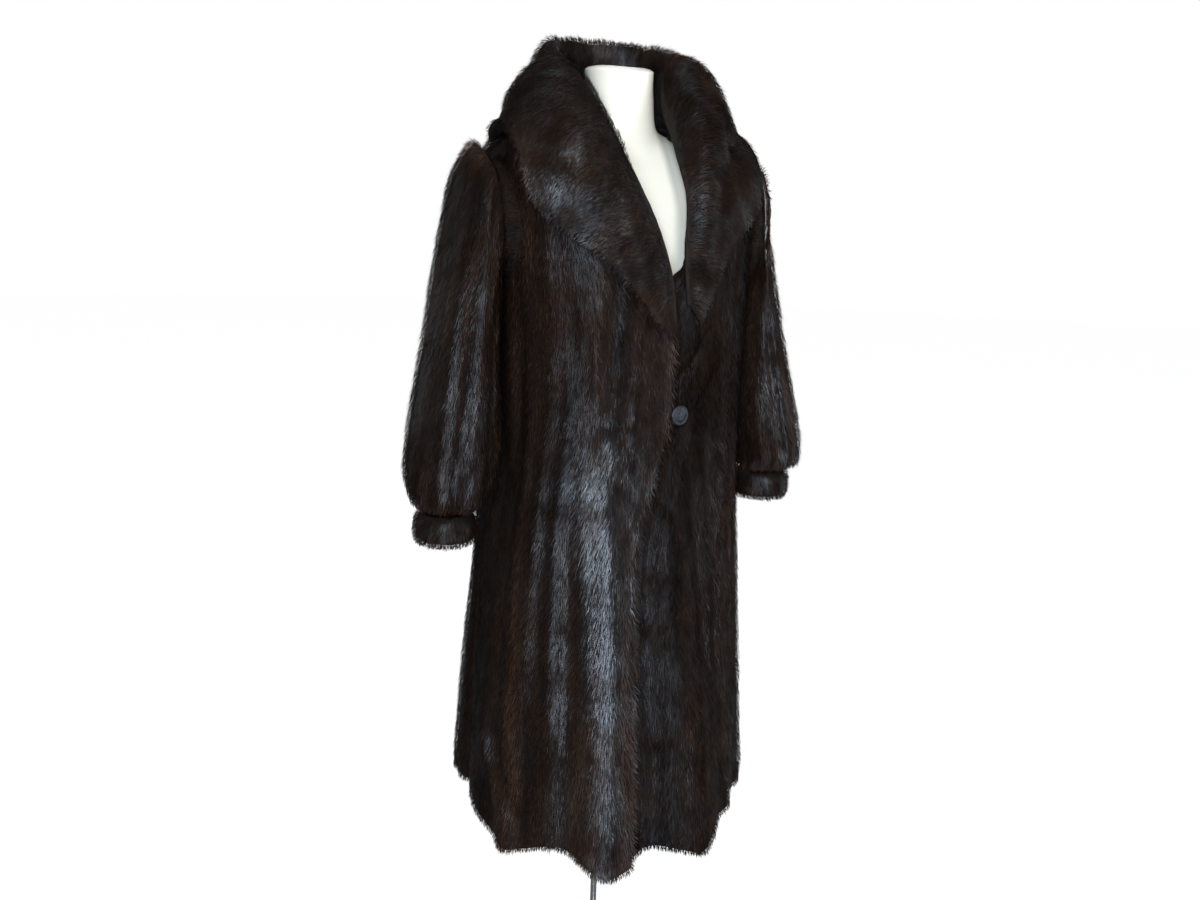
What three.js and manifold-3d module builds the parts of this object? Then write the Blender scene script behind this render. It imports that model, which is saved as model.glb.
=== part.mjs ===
import * as THREE from 'three';
import { ParametricGeometry } from 'three/addons/geometries/ParametricGeometry.js';
import { mergeGeometries, mergeVertices } from 'three/addons/utils/BufferGeometryUtils.js';
import Module from 'manifold-3d';

const wasm = await Module();
wasm.setup();

// A long mink coat with a wide shawl collar and bishop sleeves, on a limbless dress form.
// Millimetres, +Z up, the coat's front faces -Y and the wearer's right side is -X.
// Angles round the body are degrees from the centre front, positive to the wearer's left.

// Wall of skin and pile, and the gaps that neighbours keep
const BODY_WALL = 11;
const SLEEVE_WALL = 10;
const COLLAR_WALL = 18;
const SEAM_GAP = 0.3;
const LAP_GAP = 3;

// How far the collar lies off the body, how softly that lift starts, the last body ring that
// it can lie on, and the station at which its left side ends under the right
const COLLAR_LIFT = 9;
const COLLAR_SOFTNESS = 2;
const COLLAR_REACH = 5;
const LEFT_LAPEL_END = 8.6;

// How much of the left side's trim and puff each line of the collar takes
const LEFT_SHARES = {
  seam: { trim: 0, out: 0, up: 0 },
  roll: { trim: 0, out: 0.15, up: 0.2 },
  crown: { trim: 0.2, out: 0.75, up: 0.4 },
  fall: { trim: 0.6, out: 1, up: 0.8 },
  edge: { trim: 1, out: 0.5, up: 0.4 },
};

// Sides of the solids
const FRONT_COLUMNS = 20;
const BACK_COLUMNS = 28;
const BODY_ROWS = 24;
const SLEEVE_SIDES = 28;
const COLLAR_COLUMNS = 46;
const COLLAR_ROWS = 9;
const FORM_SIDES = 28;

// Side seam and shoulder seam, and the armhole that the sleeve is set into
const SIDE_SEAM = 92;
const ARMHOLE = { centreZ: 1318, halfHeight: 93, halfDepth: 74, fromX: 150, toX: 260 };

// Button and the place where the fronts close
const BUTTON = { radius: 15, dome: 8, thick: 5, shankRadius: 4, x: 11, z: 1050, out: 0.4, sink: 13.2 };

// Stand under the form
const STAND = { rodRadius: 5, baseRadius: 150, baseThick: 8, hubRadius: 26, hubHeight: 22, sides: 48 };

// The coat's outer surface, ring by ring from the neck seam to the hem: half width, reach to
// the front and the back, height at the front, side and back, and how square the ring is
const BODY_RINGS = [
  { half: 82, front: 72, back: 76, zFront: 1424, zSide: 1466, zBack: 1472, square: 2.0 },
  { half: 146, front: 120, back: 112, zFront: 1382, zSide: 1452, zBack: 1438, square: 2.2 },
  { half: 196, front: 150, back: 134, zFront: 1336, zSide: 1434, zBack: 1384, square: 2.6 },
  { half: 206, front: 166, back: 148, zFront: 1278, zSide: 1386, zBack: 1316, square: 2.6 },
  { half: 204, front: 176, back: 155, zFront: 1190, zSide: 1226, zBack: 1214, square: 2.5 },
  { half: 199, front: 177, back: 150, zFront: 1030, zSide: 1030, zBack: 1030, square: 2.4 },
  { half: 205, front: 199, back: 176, zFront: 850, zSide: 850, zBack: 850, square: 2.3 },
  { half: 216, front: 230, back: 204, zFront: 640, zSide: 640, zBack: 640, square: 2.2 },
  { half: 228, front: 262, back: 230, zFront: 420, zSide: 420, zBack: 420, square: 2.1 },
];
const HEM_RING = BODY_RINGS.length - 1;

// The front edges, by ring: the right front laps over the left and swings open below the button
const FRONT_EDGES = [
  { ring: 0, right: -50, left: 50 },
  { ring: 1, right: -40, left: 40 },
  { ring: 2, right: -25, left: 25 },
  { ring: 3, right: -9, left: 9 },
  { ring: 3.5, right: -3, left: 0 },
  { ring: 4, right: 0, left: -10 },
  { ring: 4.6, right: 1, left: -12 },
  { ring: 5, right: 0, left: -14 },
  { ring: 5.4, right: -8, left: -20 },
  { ring: 5.8, right: -15, left: -25 },
  { ring: 6.3, right: -18, left: -29 },
  { ring: 8, right: -19, left: -31 },
];

// Folds that open towards the hem: where, how wide, how far out at the hem, and the first ring
const FOLDS = [
  { at: -84, wide: 7, rise: 8, from: 4.5 },
  { at: -66, wide: 7, rise: 15, from: 4.2 },
  { at: -50, wide: 6, rise: 12, from: 5 },
  { at: -28.5, wide: 9, rise: 34, from: 4.6 },
  { at: 3, wide: 8, rise: 27, from: 5 },
  { at: 24, wide: 7, rise: -17, from: 5.5 },
  { at: 42, wide: 9, rise: -36, from: 4.8 },
  { at: 62, wide: 7, rise: -2, from: 4.4 },
  { at: 76, wide: 7, rise: 13, from: 4.8 },
  { at: 99, wide: 6, rise: -12, from: 5.2 },
  { at: 117, wide: 8, rise: 14, from: 4.6 },
  { at: 139, wide: 7, rise: 11, from: 5 },
  { at: 160, wide: 9, rise: 16, from: 4.4 },
  { at: 183, wide: 7, rise: 9, from: 5.2 },
  { at: 206, wide: 8, rise: 15, from: 4.7 },
  { at: 232, wide: 8, rise: 13, from: 4.4 },
  { at: 256, wide: 6, rise: -16, from: 5 },
];

// Where the hem hangs lower than its ring
const HEM_DROPS = [
  { at: -27, wide: 11, drop: 36 },
  { at: 4, wide: 10, drop: 14 },
  { at: -66, wide: 15, drop: 30 },
  { at: 160, wide: 40, drop: 10 },
];

// The sleeve from the armhole to the gathers at the cuff: its underarm line and its top line
// outwards from the coat's centre and in height, its half depth, how far forward it hangs, and
// the depth of the gathers. The swing carries the left sleeve's top line in, and the rise lifts
// its lower end.
const SLEEVE_RINGS = [
  { underX: 190, underZ: 1225.3, topX: 190, topZ: 1410.7, depth: 73.7, forward: 0, gather: 0 },
  { underX: 213, underZ: 1225.3, topX: 213, topZ: 1410.7, depth: 73.7, forward: 0, gather: 0 },
  { underX: 214, underZ: 1215, topX: 234, topZ: 1428, depth: 82, forward: 2, gather: 2.5 },
  { underX: 215, underZ: 1198, topX: 256, topZ: 1402, depth: 86, forward: 6, gather: 2.5 },
  { underX: 215, underZ: 1165, topX: 274, topZ: 1340, depth: 86, forward: 12, gather: 1 },
  { underX: 215, underZ: 1110, topX: 297, topZ: 1245, depth: 84, forward: 18, gather: 0 },
  { underX: 216, underZ: 1045, topX: 317, topZ: 1135, depth: 84, forward: 26, gather: 0 },
  { underX: 221, underZ: 998, topX: 335, topZ: 1052, depth: 84, forward: 33, gather: 1.5 },
  { underX: 231, underZ: 952, topX: 347, topZ: 972, depth: 82, forward: 38, gather: 3 },
  { underX: 240, underZ: 924, topX: 345, topZ: 932, depth: 74, forward: 41, gather: 3.5 },
  { underX: 253, underZ: 911, topX: 333, topZ: 911, depth: 44, forward: 42, gather: 1.5 },
];
const SLEEVE_SWING = { right: 0, left: -32 };
const SLEEVE_RISE = { right: 0, left: 16 };
const UNDER_SWING = 0.24;
const CUFF_SWING = 0.72;
const SLEEVE_ROWS = 18;
const SLEEVE_GATHERS = 7;

// The fur roll at the wrist
const CUFF = { half: 47, depth: 49, x: 293, forward: 42, top: 910.6, bottom: 861, thick: 24, sides: 24, round: 12 };

// The shawl collar from the centre back to the closing, one half: its seam on the neck, the
// roll, the crown, the fall and the outer edge, each as x, y, z, how far both sides lean to the
// wearer's left, how much narrower the left side is, and how much fuller it stands
const COLLAR_STATIONS = [
  { lean: 0, trim: 0, puff: 0, seam: [0, 80, 1479], roll: [0, 92, 1568],
    crown: [0, 114, 1572], fall: [0, 138, 1496], edge: [0, 158, 1408] },
  { lean: 0, trim: 0, puff: 10, seam: [44, 70, 1477], roll: [50, 80, 1568],
    crown: [58, 102, 1571], fall: [77, 127, 1496], edge: [92, 150, 1408] },
  { lean: -3, trim: 0, puff: 26, seam: [72, 40, 1476], roll: [82, 44, 1560],
    crown: [96, 56, 1563], fall: [130, 72, 1502], edge: [150, 94, 1424] },
  { lean: -7, trim: 6, puff: 30, seam: [82, 0, 1477], roll: [79, 0, 1540],
    crown: [104, 2, 1556], fall: [150, 8, 1512], edge: [181, 12, 1457] },
  { lean: -14, trim: 13, puff: 14, seam: [74, -42, 1464], roll: [62, -46, 1496],
    crown: [90, -52, 1524], fall: [146, -62, 1484], edge: [196, -80, 1424] },
  { lean: -15, trim: 23, puff: 0, seam: [64, -92, 1428], roll: [50, -106, 1436],
    crown: [84, -120, 1460], fall: [138, -124, 1424], edge: [182, -120, 1348] },
  { lean: -14, trim: 20, puff: 0, seam: [50, -136, 1372], roll: [38, -152, 1364],
    crown: [66, -164, 1376], fall: [108, -160, 1348], edge: [138, -150, 1306] },
  { lean: -9, trim: 12, puff: 0, seam: [28, -164, 1306], roll: [19, -176, 1296],
    crown: [40, -186, 1300], fall: [68, -182, 1282], edge: [90, -174, 1260] },
  { lean: -4, trim: 6, puff: 0, seam: [18, -174, 1252], roll: [11, -184, 1242],
    crown: [24, -192, 1240], fall: [38, -192, 1226], edge: [52, -188, 1210] },
  { lean: 0, trim: 0, puff: 0, seam: [14, -186, 1200], roll: [11, -190, 1190],
    crown: [13, -193, 1184], fall: [17, -194, 1178], edge: [22, -194, 1172] },
];

// The dress form, ring by ring from the neck's top to its underside
const FORM_RINGS = [
  { half: 50, front: 52, back: 50, zFront: 1541, zSide: 1545, zBack: 1549 },
  { half: 51, front: 53, back: 51, zFront: 1500, zSide: 1506, zBack: 1512 },
  { half: 59, front: 60, back: 58, zFront: 1428, zSide: 1460, zBack: 1470 },
  { half: 96, front: 84, back: 78, zFront: 1392, zSide: 1444, zBack: 1440 },
  { half: 146, front: 110, back: 98, zFront: 1356, zSide: 1439, zBack: 1405 },
  { half: 174, front: 128, back: 112, zFront: 1318, zSide: 1396, zBack: 1352 },
  { half: 176, front: 140, back: 120, zFront: 1240, zSide: 1260, zBack: 1250 },
  { half: 158, front: 134, back: 114, zFront: 1150, zSide: 1150, zBack: 1150 },
  { half: 128, front: 104, back: 92, zFront: 1030, zSide: 1030, zBack: 1030 },
  { half: 166, front: 122, back: 128, zFront: 860, zSide: 860, zBack: 860 },
  { half: 160, front: 116, back: 118, zFront: 790, zSide: 790, zBack: 790 },
];
const FORM_ROWS = 20;

const FUR = { color: 0x2b1d18, roughness: 0.7, metalness: 0 };
const FUR_COLLAR = { color: 0x33241d, roughness: 0.7, metalness: 0 };
const HORN = { color: 0x23262e, roughness: 0.35, metalness: 0 };
const GLOSSY_SHELL = { color: 0xe9e6dd, roughness: 0.3, metalness: 0 };
const STEEL = { color: 0xb9bcc0, roughness: 0.35, metalness: 0.9 };

const degrees = THREE.MathUtils.degToRad;
const smooth = (low, high, value) => THREE.MathUtils.smoothstep(value, low, high);
const bell = (distance, wide) => Math.exp(-((distance / wide) ** 2));

// A smooth curve through a table's rows, read at any place between them
function along(rows, place, value, at) {
  const last = rows.length - 1;
  let i = 0;
  while (i < last - 1 && at > place(rows[i + 1], i + 1)) i += 1;
  const x = (n) => place(rows[n], n);
  const y = (n) => value(rows[n]);
  const slope = (n) => {
    const a = Math.max(0, n - 1);
    const b = Math.min(last, n + 1);
    return (y(b) - y(a)) / (x(b) - x(a));
  };
  const step = x(i + 1) - x(i);
  const t = THREE.MathUtils.clamp((at - x(i)) / step, 0, 1);
  const rest = 1 - t;
  const start = y(i) * (1 + 2 * t) * rest * rest + slope(i) * step * t * rest * rest;
  const end = y(i + 1) * (3 - 2 * t) * t * t - slope(i + 1) * step * rest * t * t;
  return start + end;
}
const byIndex = (row, i) => i;
const byRing = (row) => row.ring;
const ringValue = (rings, name, ring) => along(rings, byIndex, (row) => row[name], ring);

// A point on a ring whose plan is an oval, squarer as its power rises
function ringPoint(rings, angle, ring, power) {
  const side = Math.sin(degrees(angle));
  const ahead = Math.cos(degrees(angle));
  const deep = ahead > 0 ? 'front' : 'back';
  const wide = Math.abs(side) / ringValue(rings, 'half', ring);
  const long = Math.abs(ahead) / ringValue(rings, deep, ring);
  const reach = (wide ** power + long ** power) ** (-1 / power);
  const middle = ringValue(rings, 'zSide', ring);
  const end = ringValue(rings, ahead > 0 ? 'zFront' : 'zBack', ring);
  return { reach, z: middle + (end - middle) * ahead * ahead };
}

const turnBetween = (a, b) => ((((a - b) % 360) + 540) % 360) - 180;

// The coat's outer surface, with its folds, moved in by a depth
function bodySurface(angle, ring, sunk = 0) {
  const spot = ringPoint(BODY_RINGS, angle, ring, ringValue(BODY_RINGS, 'square', ring));
  let reach = spot.reach - sunk;
  for (const fold of FOLDS) {
    reach += fold.rise * bell(turnBetween(angle, fold.at), fold.wide) * smooth(fold.from, HEM_RING, ring);
  }
  let z = spot.z;
  for (const low of HEM_DROPS) {
    z -= low.drop * bell(turnBetween(angle, low.at), low.wide) * smooth(HEM_RING - 1, HEM_RING, ring);
  }
  return new THREE.Vector3(reach * Math.sin(degrees(angle)), -reach * Math.cos(degrees(angle)), z);
}

// The way out of a surface of two numbers
function outward(surface, a, b, stepA, stepB, lowB, highB) {
  const alongA = surface(a + stepA, b).sub(surface(a - stepA, b));
  const alongB = surface(a, Math.min(b + stepB, highB)).sub(surface(a, Math.max(b - stepB, lowB)));
  return alongB.cross(alongA).normalize();
}

// Near a seam the way out stays in the seam's upright plane, so that both walls end flat
function bodyOut(angle, ring) {
  const out = outward(bodySurface, angle, ring, 1, 0.05, 0, HEM_RING);
  const round = new THREE.Vector3(Math.cos(degrees(angle)), Math.sin(degrees(angle)), 0);
  const near = Math.max(bell(turnBetween(angle, SIDE_SEAM), 5), bell(turnBetween(angle, -SIDE_SEAM), 5));
  return out.addScaledVector(round, -out.dot(round) * near).normalize();
}

// The left front lies one wall deeper where the right front laps over it
function lapDepth(angle, ring) {
  const edge = along(FRONT_EDGES, byRing, (row) => row.right, ring);
  const under = 1 - smooth(edge + 5, edge + 14, angle);
  return (BODY_WALL + LAP_GAP) * under * smooth(2.6, 3.6, ring);
}

// A closed shell from a function of two places and a depth, 0 outside and 1 inside.
// A tube is closed round its first place, so it has rims only at its two ends.
function shell(face, columns, rows, { tube = false, rimSteps = 1 } = {}) {
  const patch = (point, slices, stacks) => {
    const geometry = new ParametricGeometry((u, v, target) => target.copy(point(u, v)), slices, stacks);
    geometry.deleteAttribute('normal');
    geometry.deleteAttribute('uv');
    return geometry;
  };
  const patches = [
    patch((u, v) => face(u, v, 0), columns, rows),
    patch((u, v) => face(1 - u, v, 1), columns, rows),
    patch((u, w) => face(u, 0, 1 - w), columns, rimSteps),
    patch((u, w) => face(u, 1, w), columns, rimSteps),
  ];
  if (!tube) {
    patches.push(patch((w, v) => face(0, v, 1 - w), rimSteps, rows));
    patches.push(patch((w, v) => face(1, v, w), rimSteps, rows));
  }
  return closed(mergeGeometries(patches));
}

// Merges the shared points and turns the faces outwards
function closed(geometry) {
  const solid = mergeVertices(geometry, 1e-3);
  if (volumeOf(solid) < 0) {
    const index = solid.index.array;
    for (let i = 0; i < index.length; i += 3) {
      const first = index[i];
      index[i] = index[i + 1];
      index[i + 1] = first;
    }
  }
  return withoutSlivers(solid);
}

// Drops the triangles that merging closed to a line, as at a pole
function withoutSlivers(geometry) {
  const index = geometry.index.array;
  const kept = [];
  for (let i = 0; i < index.length; i += 3) {
    const [a, b, c] = [index[i], index[i + 1], index[i + 2]];
    if (a !== b && b !== c && c !== a) kept.push(a, b, c);
  }
  geometry.setIndex(kept);
  return geometry;
}

function volumeOf(geometry) {
  const place = geometry.attributes.position;
  const index = geometry.index.array;
  const [a, b, c] = [new THREE.Vector3(), new THREE.Vector3(), new THREE.Vector3()];
  let sum = 0;
  for (let i = 0; i < index.length; i += 3) {
    a.fromBufferAttribute(place, index[i]);
    b.fromBufferAttribute(place, index[i + 1]);
    c.fromBufferAttribute(place, index[i + 2]);
    sum += a.dot(b.cross(c)) / 6;
  }
  return sum;
}

function toSolid(geometry) {
  const bare = new THREE.BufferGeometry();
  bare.setAttribute('position', geometry.attributes.position);
  if (geometry.index) bare.setIndex(geometry.index);
  const merged = withoutSlivers(mergeVertices(bare, 1e-3));
  return new wasm.Manifold(new wasm.Mesh({
    numProp: 3,
    vertProperties: new Float32Array(merged.attributes.position.array),
    triVerts: new Uint32Array(merged.index.array),
  }));
}

function fromSolid(solid) {
  const mesh = solid.getMesh();
  const geometry = new THREE.BufferGeometry();
  geometry.setAttribute('position', new THREE.BufferAttribute(new Float32Array(mesh.vertProperties), 3));
  geometry.setIndex(Array.from(mesh.triVerts));
  return geometry;
}

// The oval that both armholes are cut with
function armholeCutter(side) {
  const length = ARMHOLE.toX - ARMHOLE.fromX;
  const cutter = new THREE.CylinderGeometry(1, 1, length, SLEEVE_SIDES);
  cutter.rotateZ(Math.PI / 2);
  cutter.scale(1, ARMHOLE.halfHeight, ARMHOLE.halfDepth);
  cutter.rotateX(Math.PI / 2);
  cutter.translate(side * (ARMHOLE.fromX + length / 2), 0, ARMHOLE.centreZ);
  return toSolid(cutter);
}

function cutArmholes(geometry) {
  const cut = toSolid(geometry).subtract(armholeCutter(1)).subtract(armholeCutter(-1));
  return fromSolid(cut);
}

// One body panel between two lines from the neck to the hem
function panel(firstAngle, lastAngle, columns, depth) {
  const face = (u, v, w) => {
    const ring = v * HEM_RING;
    const first = firstAngle(ring);
    const angle = first + (lastAngle(ring) - first) * u;
    const point = bodySurface(angle, ring, depth(angle, ring));
    return point.addScaledVector(bodyOut(angle, ring), -BODY_WALL * w);
  };
  return cutArmholes(shell(face, columns, BODY_ROWS));
}

function seamAngle(side, share) {
  return (ring) => {
    const reach = ringValue(BODY_RINGS, 'half', ring);
    return side * SIDE_SEAM + (share * THREE.MathUtils.radToDeg(SEAM_GAP / 2)) / reach;
  };
}
const rightEdge = (ring) => along(FRONT_EDGES, byRing, (row) => row.right, ring);
const leftEdge = (ring) => along(FRONT_EDGES, byRing, (row) => row.left, ring);
const flush = () => 0;

const swingOf = (side) => (side < 0 ? SLEEVE_SWING.right : SLEEVE_SWING.left);
const riseOf = (side) => (side < 0 ? SLEEVE_RISE.right : SLEEVE_RISE.left);

// A sleeve is a tube through its rings, gathered at the head and at the cuff
function sleeve(side) {
  const last = SLEEVE_RINGS.length - 1;
  const value = (name, ring) => ringValue(SLEEVE_RINGS, name, ring);
  const face = (u, v, w) => {
    const ring = v * last;
    const turn = 2 * Math.PI * (u % 1);
    const swing = swingOf(side) * smooth(1.5, 4, ring);
    const gathered = smooth(8, last, ring);
    const underSwing = swing * THREE.MathUtils.lerp(UNDER_SWING, CUFF_SWING, gathered);
    const topSwing = swing * THREE.MathUtils.lerp(1, CUFF_SWING, gathered);
    const rise = riseOf(side) * smooth(4, last, ring);
    const under = new THREE.Vector2(value('underX', ring) + underSwing, value('underZ', ring) + rise);
    const top = new THREE.Vector2(value('topX', ring) + topSwing, value('topZ', ring) + rise);
    const middle = under.clone().add(top).multiplyScalar(0.5);
    const half = top.clone().sub(under).multiplyScalar(0.5);
    const long = half.length();
    const ripple = value('gather', ring) * Math.cos(SLEEVE_GATHERS * turn) - SLEEVE_WALL * w;
    const up = Math.cos(turn) * (1 + ripple / long);
    const across = Math.sin(turn) * (value('depth', ring) + ripple);
    const x = middle.x + half.x * up;
    const z = middle.y + half.y * up;
    return new THREE.Vector3(side * x, across - value('forward', ring), z);
  };
  return shell(face, SLEEVE_SIDES, SLEEVE_ROWS, { tube: true });
}

// The fur roll is a ring with a rounded upright section
function cuff(side) {
  const middleZ = (CUFF.top + CUFF.bottom) / 2 + riseOf(side);
  const halfTall = (CUFF.top - CUFF.bottom) / 2;
  const halfThick = CUFF.thick / 2;
  const point = (u, v, target) => {
    const turn = 2 * Math.PI * (u % 1);
    const round = 2 * Math.PI * (v % 1);
    const squeeze = (value) => Math.sign(value) * Math.abs(value) ** 0.75;
    const out = squeeze(Math.cos(round)) * halfThick - halfThick;
    const x = CUFF.x + CUFF_SWING * swingOf(side) + Math.cos(turn) * (CUFF.half + out);
    const y = Math.sin(turn) * (CUFF.depth + out) - CUFF.forward;
    target.set(side * x, y, middleZ + squeeze(Math.sin(round)) * halfTall);
  };
  const geometry = new ParametricGeometry(point, CUFF.sides, CUFF.round);
  geometry.deleteAttribute('normal');
  geometry.deleteAttribute('uv');
  return closed(geometry);
}

// The collar's middle surface: its stations are mirrored about the centre back
function collarSurface(place, across) {
  const last = COLLAR_STATIONS.length - 1;
  const side = place < 0 ? -1 : 1;
  const station = Math.abs(place) * (side < 0 ? last : LEFT_LAPEL_END);
  const names = ['seam', 'roll', 'crown', 'fall', 'edge'];
  const lean = along(COLLAR_STATIONS, byIndex, (row) => row.lean, station);
  const trim = side < 0 ? 0 : along(COLLAR_STATIONS, byIndex, (row) => row.trim, station);
  const puff = side < 0 ? 0 : along(COLLAR_STATIONS, byIndex, (row) => row.puff, station);
  const spots = names.map((name) => {
    const [x, y, z] = [0, 1, 2].map((axis) => along(COLLAR_STATIONS, byIndex, (row) => row[name][axis], station));
    const share = LEFT_SHARES[name];
    return new THREE.Vector3(side * x + lean - trim * share.trim + puff * share.out, y, z + puff * share.up);
  });
  const curve = (axis) => along(spots, byIndex, (spot) => spot.getComponent(axis), across * (names.length - 1));
  return liftedOffBody(new THREE.Vector3(curve(0), curve(1), curve(2)), COLLAR_WALL / 2 + COLLAR_LIFT);
}

// The body's angle and ring nearest to a point, found in finer and finer steps
function nearestOnBody(point) {
  const spot = { angle: Math.atan2(point.x, -point.y), ring: 0, distance: Infinity };
  const tryAt = (angle, ring) => {
    const distance = bodySurface(THREE.MathUtils.radToDeg(angle), ring).distanceTo(point);
    if (distance < spot.distance) Object.assign(spot, { angle, ring, distance });
  };
  const polar = spot.angle;
  for (let ring = 0; ring <= COLLAR_REACH; ring += 0.25) tryAt(polar, ring);
  for (const step of [0.2, 0.1, 0.05, 0.025]) {
    for (let turn = 0; turn < 3; turn += 1) {
      const { angle, ring } = spot;
      for (const aside of [-step, step]) {
        tryAt(angle + aside / 2, ring);
        tryAt(angle, Math.max(ring + aside, 0));
      }
    }
  }
  return { angle: THREE.MathUtils.radToDeg(spot.angle), ring: spot.ring };
}

// Where a point would sink into the coat, it is moved out to lie on it
function liftedOffBody(point, clearance) {
  const { angle, ring } = nearestOnBody(point);
  const out = bodyOut(angle, ring);
  const height = point.clone().sub(bodySurface(angle, ring)).dot(out);
  const short = clearance - height;
  const lift = (short + Math.hypot(short, COLLAR_SOFTNESS)) / 2;
  return ring > 0 ? point.addScaledVector(out, lift) : point;
}

function collar() {
  const half = COLLAR_WALL / 2;
  const out = (place, across) => {
    const before = collarSurface(Math.max(place - 0.01, -1), across);
    const after = collarSurface(Math.min(place + 0.01, 1), across);
    const down = collarSurface(place, Math.min(across + 0.02, 1));
    const up = collarSurface(place, Math.max(across - 0.02, 0));
    return after.sub(before).cross(down.sub(up)).normalize();
  };
  const face = (u, v, w) => {
    const place = 2 * u - 1;
    const point = collarSurface(place, v);
    const ahead = collarSurface(Math.min(place + 0.01, 1), v).sub(collarSurface(Math.max(place - 0.01, -1), v));
    const down = collarSurface(place, Math.min(v + 0.02, 1)).sub(collarSurface(place, Math.max(v - 0.02, 0)));
    const bulge = Math.sin(Math.PI * w) * half * 0.8;
    if (v === 0 || v === 1) point.addScaledVector(down.normalize(), (v === 0 ? -1 : 1) * bulge);
    if (u === 0 || u === 1) point.addScaledVector(ahead.normalize(), (u === 0 ? -1 : 1) * bulge);
    point.addScaledVector(out(place, v), half * (1 - 2 * w));
    return w > 0.5 ? liftedOffBody(point, COLLAR_LIFT) : point;
  };
  return shell(face, COLLAR_COLUMNS, COLLAR_ROWS, { rimSteps: 2 });
}

// The form is one closed skin, with a pole at the middle of its top and its underside
function dressForm() {
  const last = FORM_RINGS.length - 1;
  const capShare = 0.06;
  const point = (u, v, target) => {
    const angle = 360 * (u % 1);
    const body = THREE.MathUtils.clamp((v - capShare) / (1 - 2 * capShare), 0, 1);
    const spot = ringPoint(FORM_RINGS, angle, body * last, 2.1);
    const top = Math.min(1, v / capShare);
    const bottom = Math.min(1, (1 - v) / capShare);
    const reach = spot.reach * top * bottom;
    const middle = FORM_RINGS[0].zSide;
    const z = v < capShare ? middle + (spot.z - middle) * top : spot.z;
    target.set(reach * Math.sin(degrees(angle)), -reach * Math.cos(degrees(angle)), z);
  };
  const geometry = new ParametricGeometry(point, FORM_SIDES, FORM_ROWS);
  geometry.deleteAttribute('normal');
  geometry.deleteAttribute('uv');
  return closed(geometry);
}

function lathe(points, sides) {
  const profile = points.map(([radius, height]) => new THREE.Vector2(radius, height));
  const geometry = new THREE.LatheGeometry(profile, sides);
  geometry.rotateX(Math.PI / 2);
  geometry.deleteAttribute('normal');
  geometry.deleteAttribute('uv');
  return closed(geometry);
}

const group = new THREE.Group();

function add(name, geometry, finish) {
  const mesh = new THREE.Mesh(geometry, new THREE.MeshStandardMaterial(finish));
  mesh.name = name;
  geometry.computeVertexNormals();
  group.add(mesh);
  return mesh;
}

add('back', panel(seamAngle(1, 1), (ring) => 360 + seamAngle(-1, -1)(ring), BACK_COLUMNS, flush), FUR);
add('right_front', panel(seamAngle(-1, 1), rightEdge, FRONT_COLUMNS, flush), FUR);
add('left_front', panel(leftEdge, seamAngle(1, -1), FRONT_COLUMNS, lapDepth), FUR);
add('collar', collar(), FUR_COLLAR);
for (const [name, side] of [['right', -1], ['left', 1]]) {
  add(`${name}_sleeve`, sleeve(side), FUR);
  add(`${name}_cuff`, cuff(side), FUR);
}

// The button is a dome on a shank, and faces the way the left front does
const buttonRing = 5;
const buttonAngle = THREE.MathUtils.radToDeg(Math.asin(BUTTON.x / ringValue(BODY_RINGS, 'front', buttonRing)));
const buttonProfile = [[0, -BUTTON.sink], [BUTTON.shankRadius, -BUTTON.sink], [BUTTON.shankRadius, 0]];
buttonProfile.push([BUTTON.radius * 0.8, 0], [BUTTON.radius, BUTTON.thick * 0.45], [BUTTON.radius, BUTTON.thick]);
for (const share of [0.85, 0.6, 0.3]) {
  buttonProfile.push([BUTTON.radius * share, BUTTON.thick + BUTTON.dome * 0.5 * Math.sqrt(1 - share * share)]);
}
buttonProfile.push([0, BUTTON.thick + BUTTON.dome * 0.5]);
const button = add('button', lathe(buttonProfile, 24), HORN);
const buttonSeat = bodySurface(buttonAngle, buttonRing);
button.position.set(buttonSeat.x, buttonSeat.y - BUTTON.out, BUTTON.z);
button.rotation.set(Math.PI / 2, 0, degrees(buttonAngle));
button.rotation.order = 'ZXY';

add('dress_form', dressForm(), GLOSSY_SHELL);
const formFoot = FORM_RINGS[FORM_RINGS.length - 1].zSide;
const rodFoot = STAND.baseThick + STAND.hubHeight + SEAM_GAP;
const rod = lathe([[0, rodFoot], [STAND.rodRadius, rodFoot], [STAND.rodRadius, formFoot - SEAM_GAP],
  [0, formFoot - SEAM_GAP]], STAND.sides / 2);
add('stand_rod', rod, STEEL);
const base = lathe([[0, 0], [STAND.baseRadius, 0], [STAND.baseRadius, STAND.baseThick * 0.6],
  [STAND.baseRadius - 5, STAND.baseThick], [STAND.hubRadius, STAND.baseThick],
  [STAND.hubRadius * 0.6, STAND.baseThick + STAND.hubHeight], [0, STAND.baseThick + STAND.hubHeight]], STAND.sides);
add('stand_base', base, STEEL);

// The origin is on the floor, under the middle of the whole piece
const box = new THREE.Box3().setFromObject(group);
const centre = box.getCenter(new THREE.Vector3());
group.position.set(-centre.x, -centre.y, -box.min.z);

export default group;
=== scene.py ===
import math

import bmesh
import bpy
import numpy as np
from mathutils import Matrix, Vector


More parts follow.
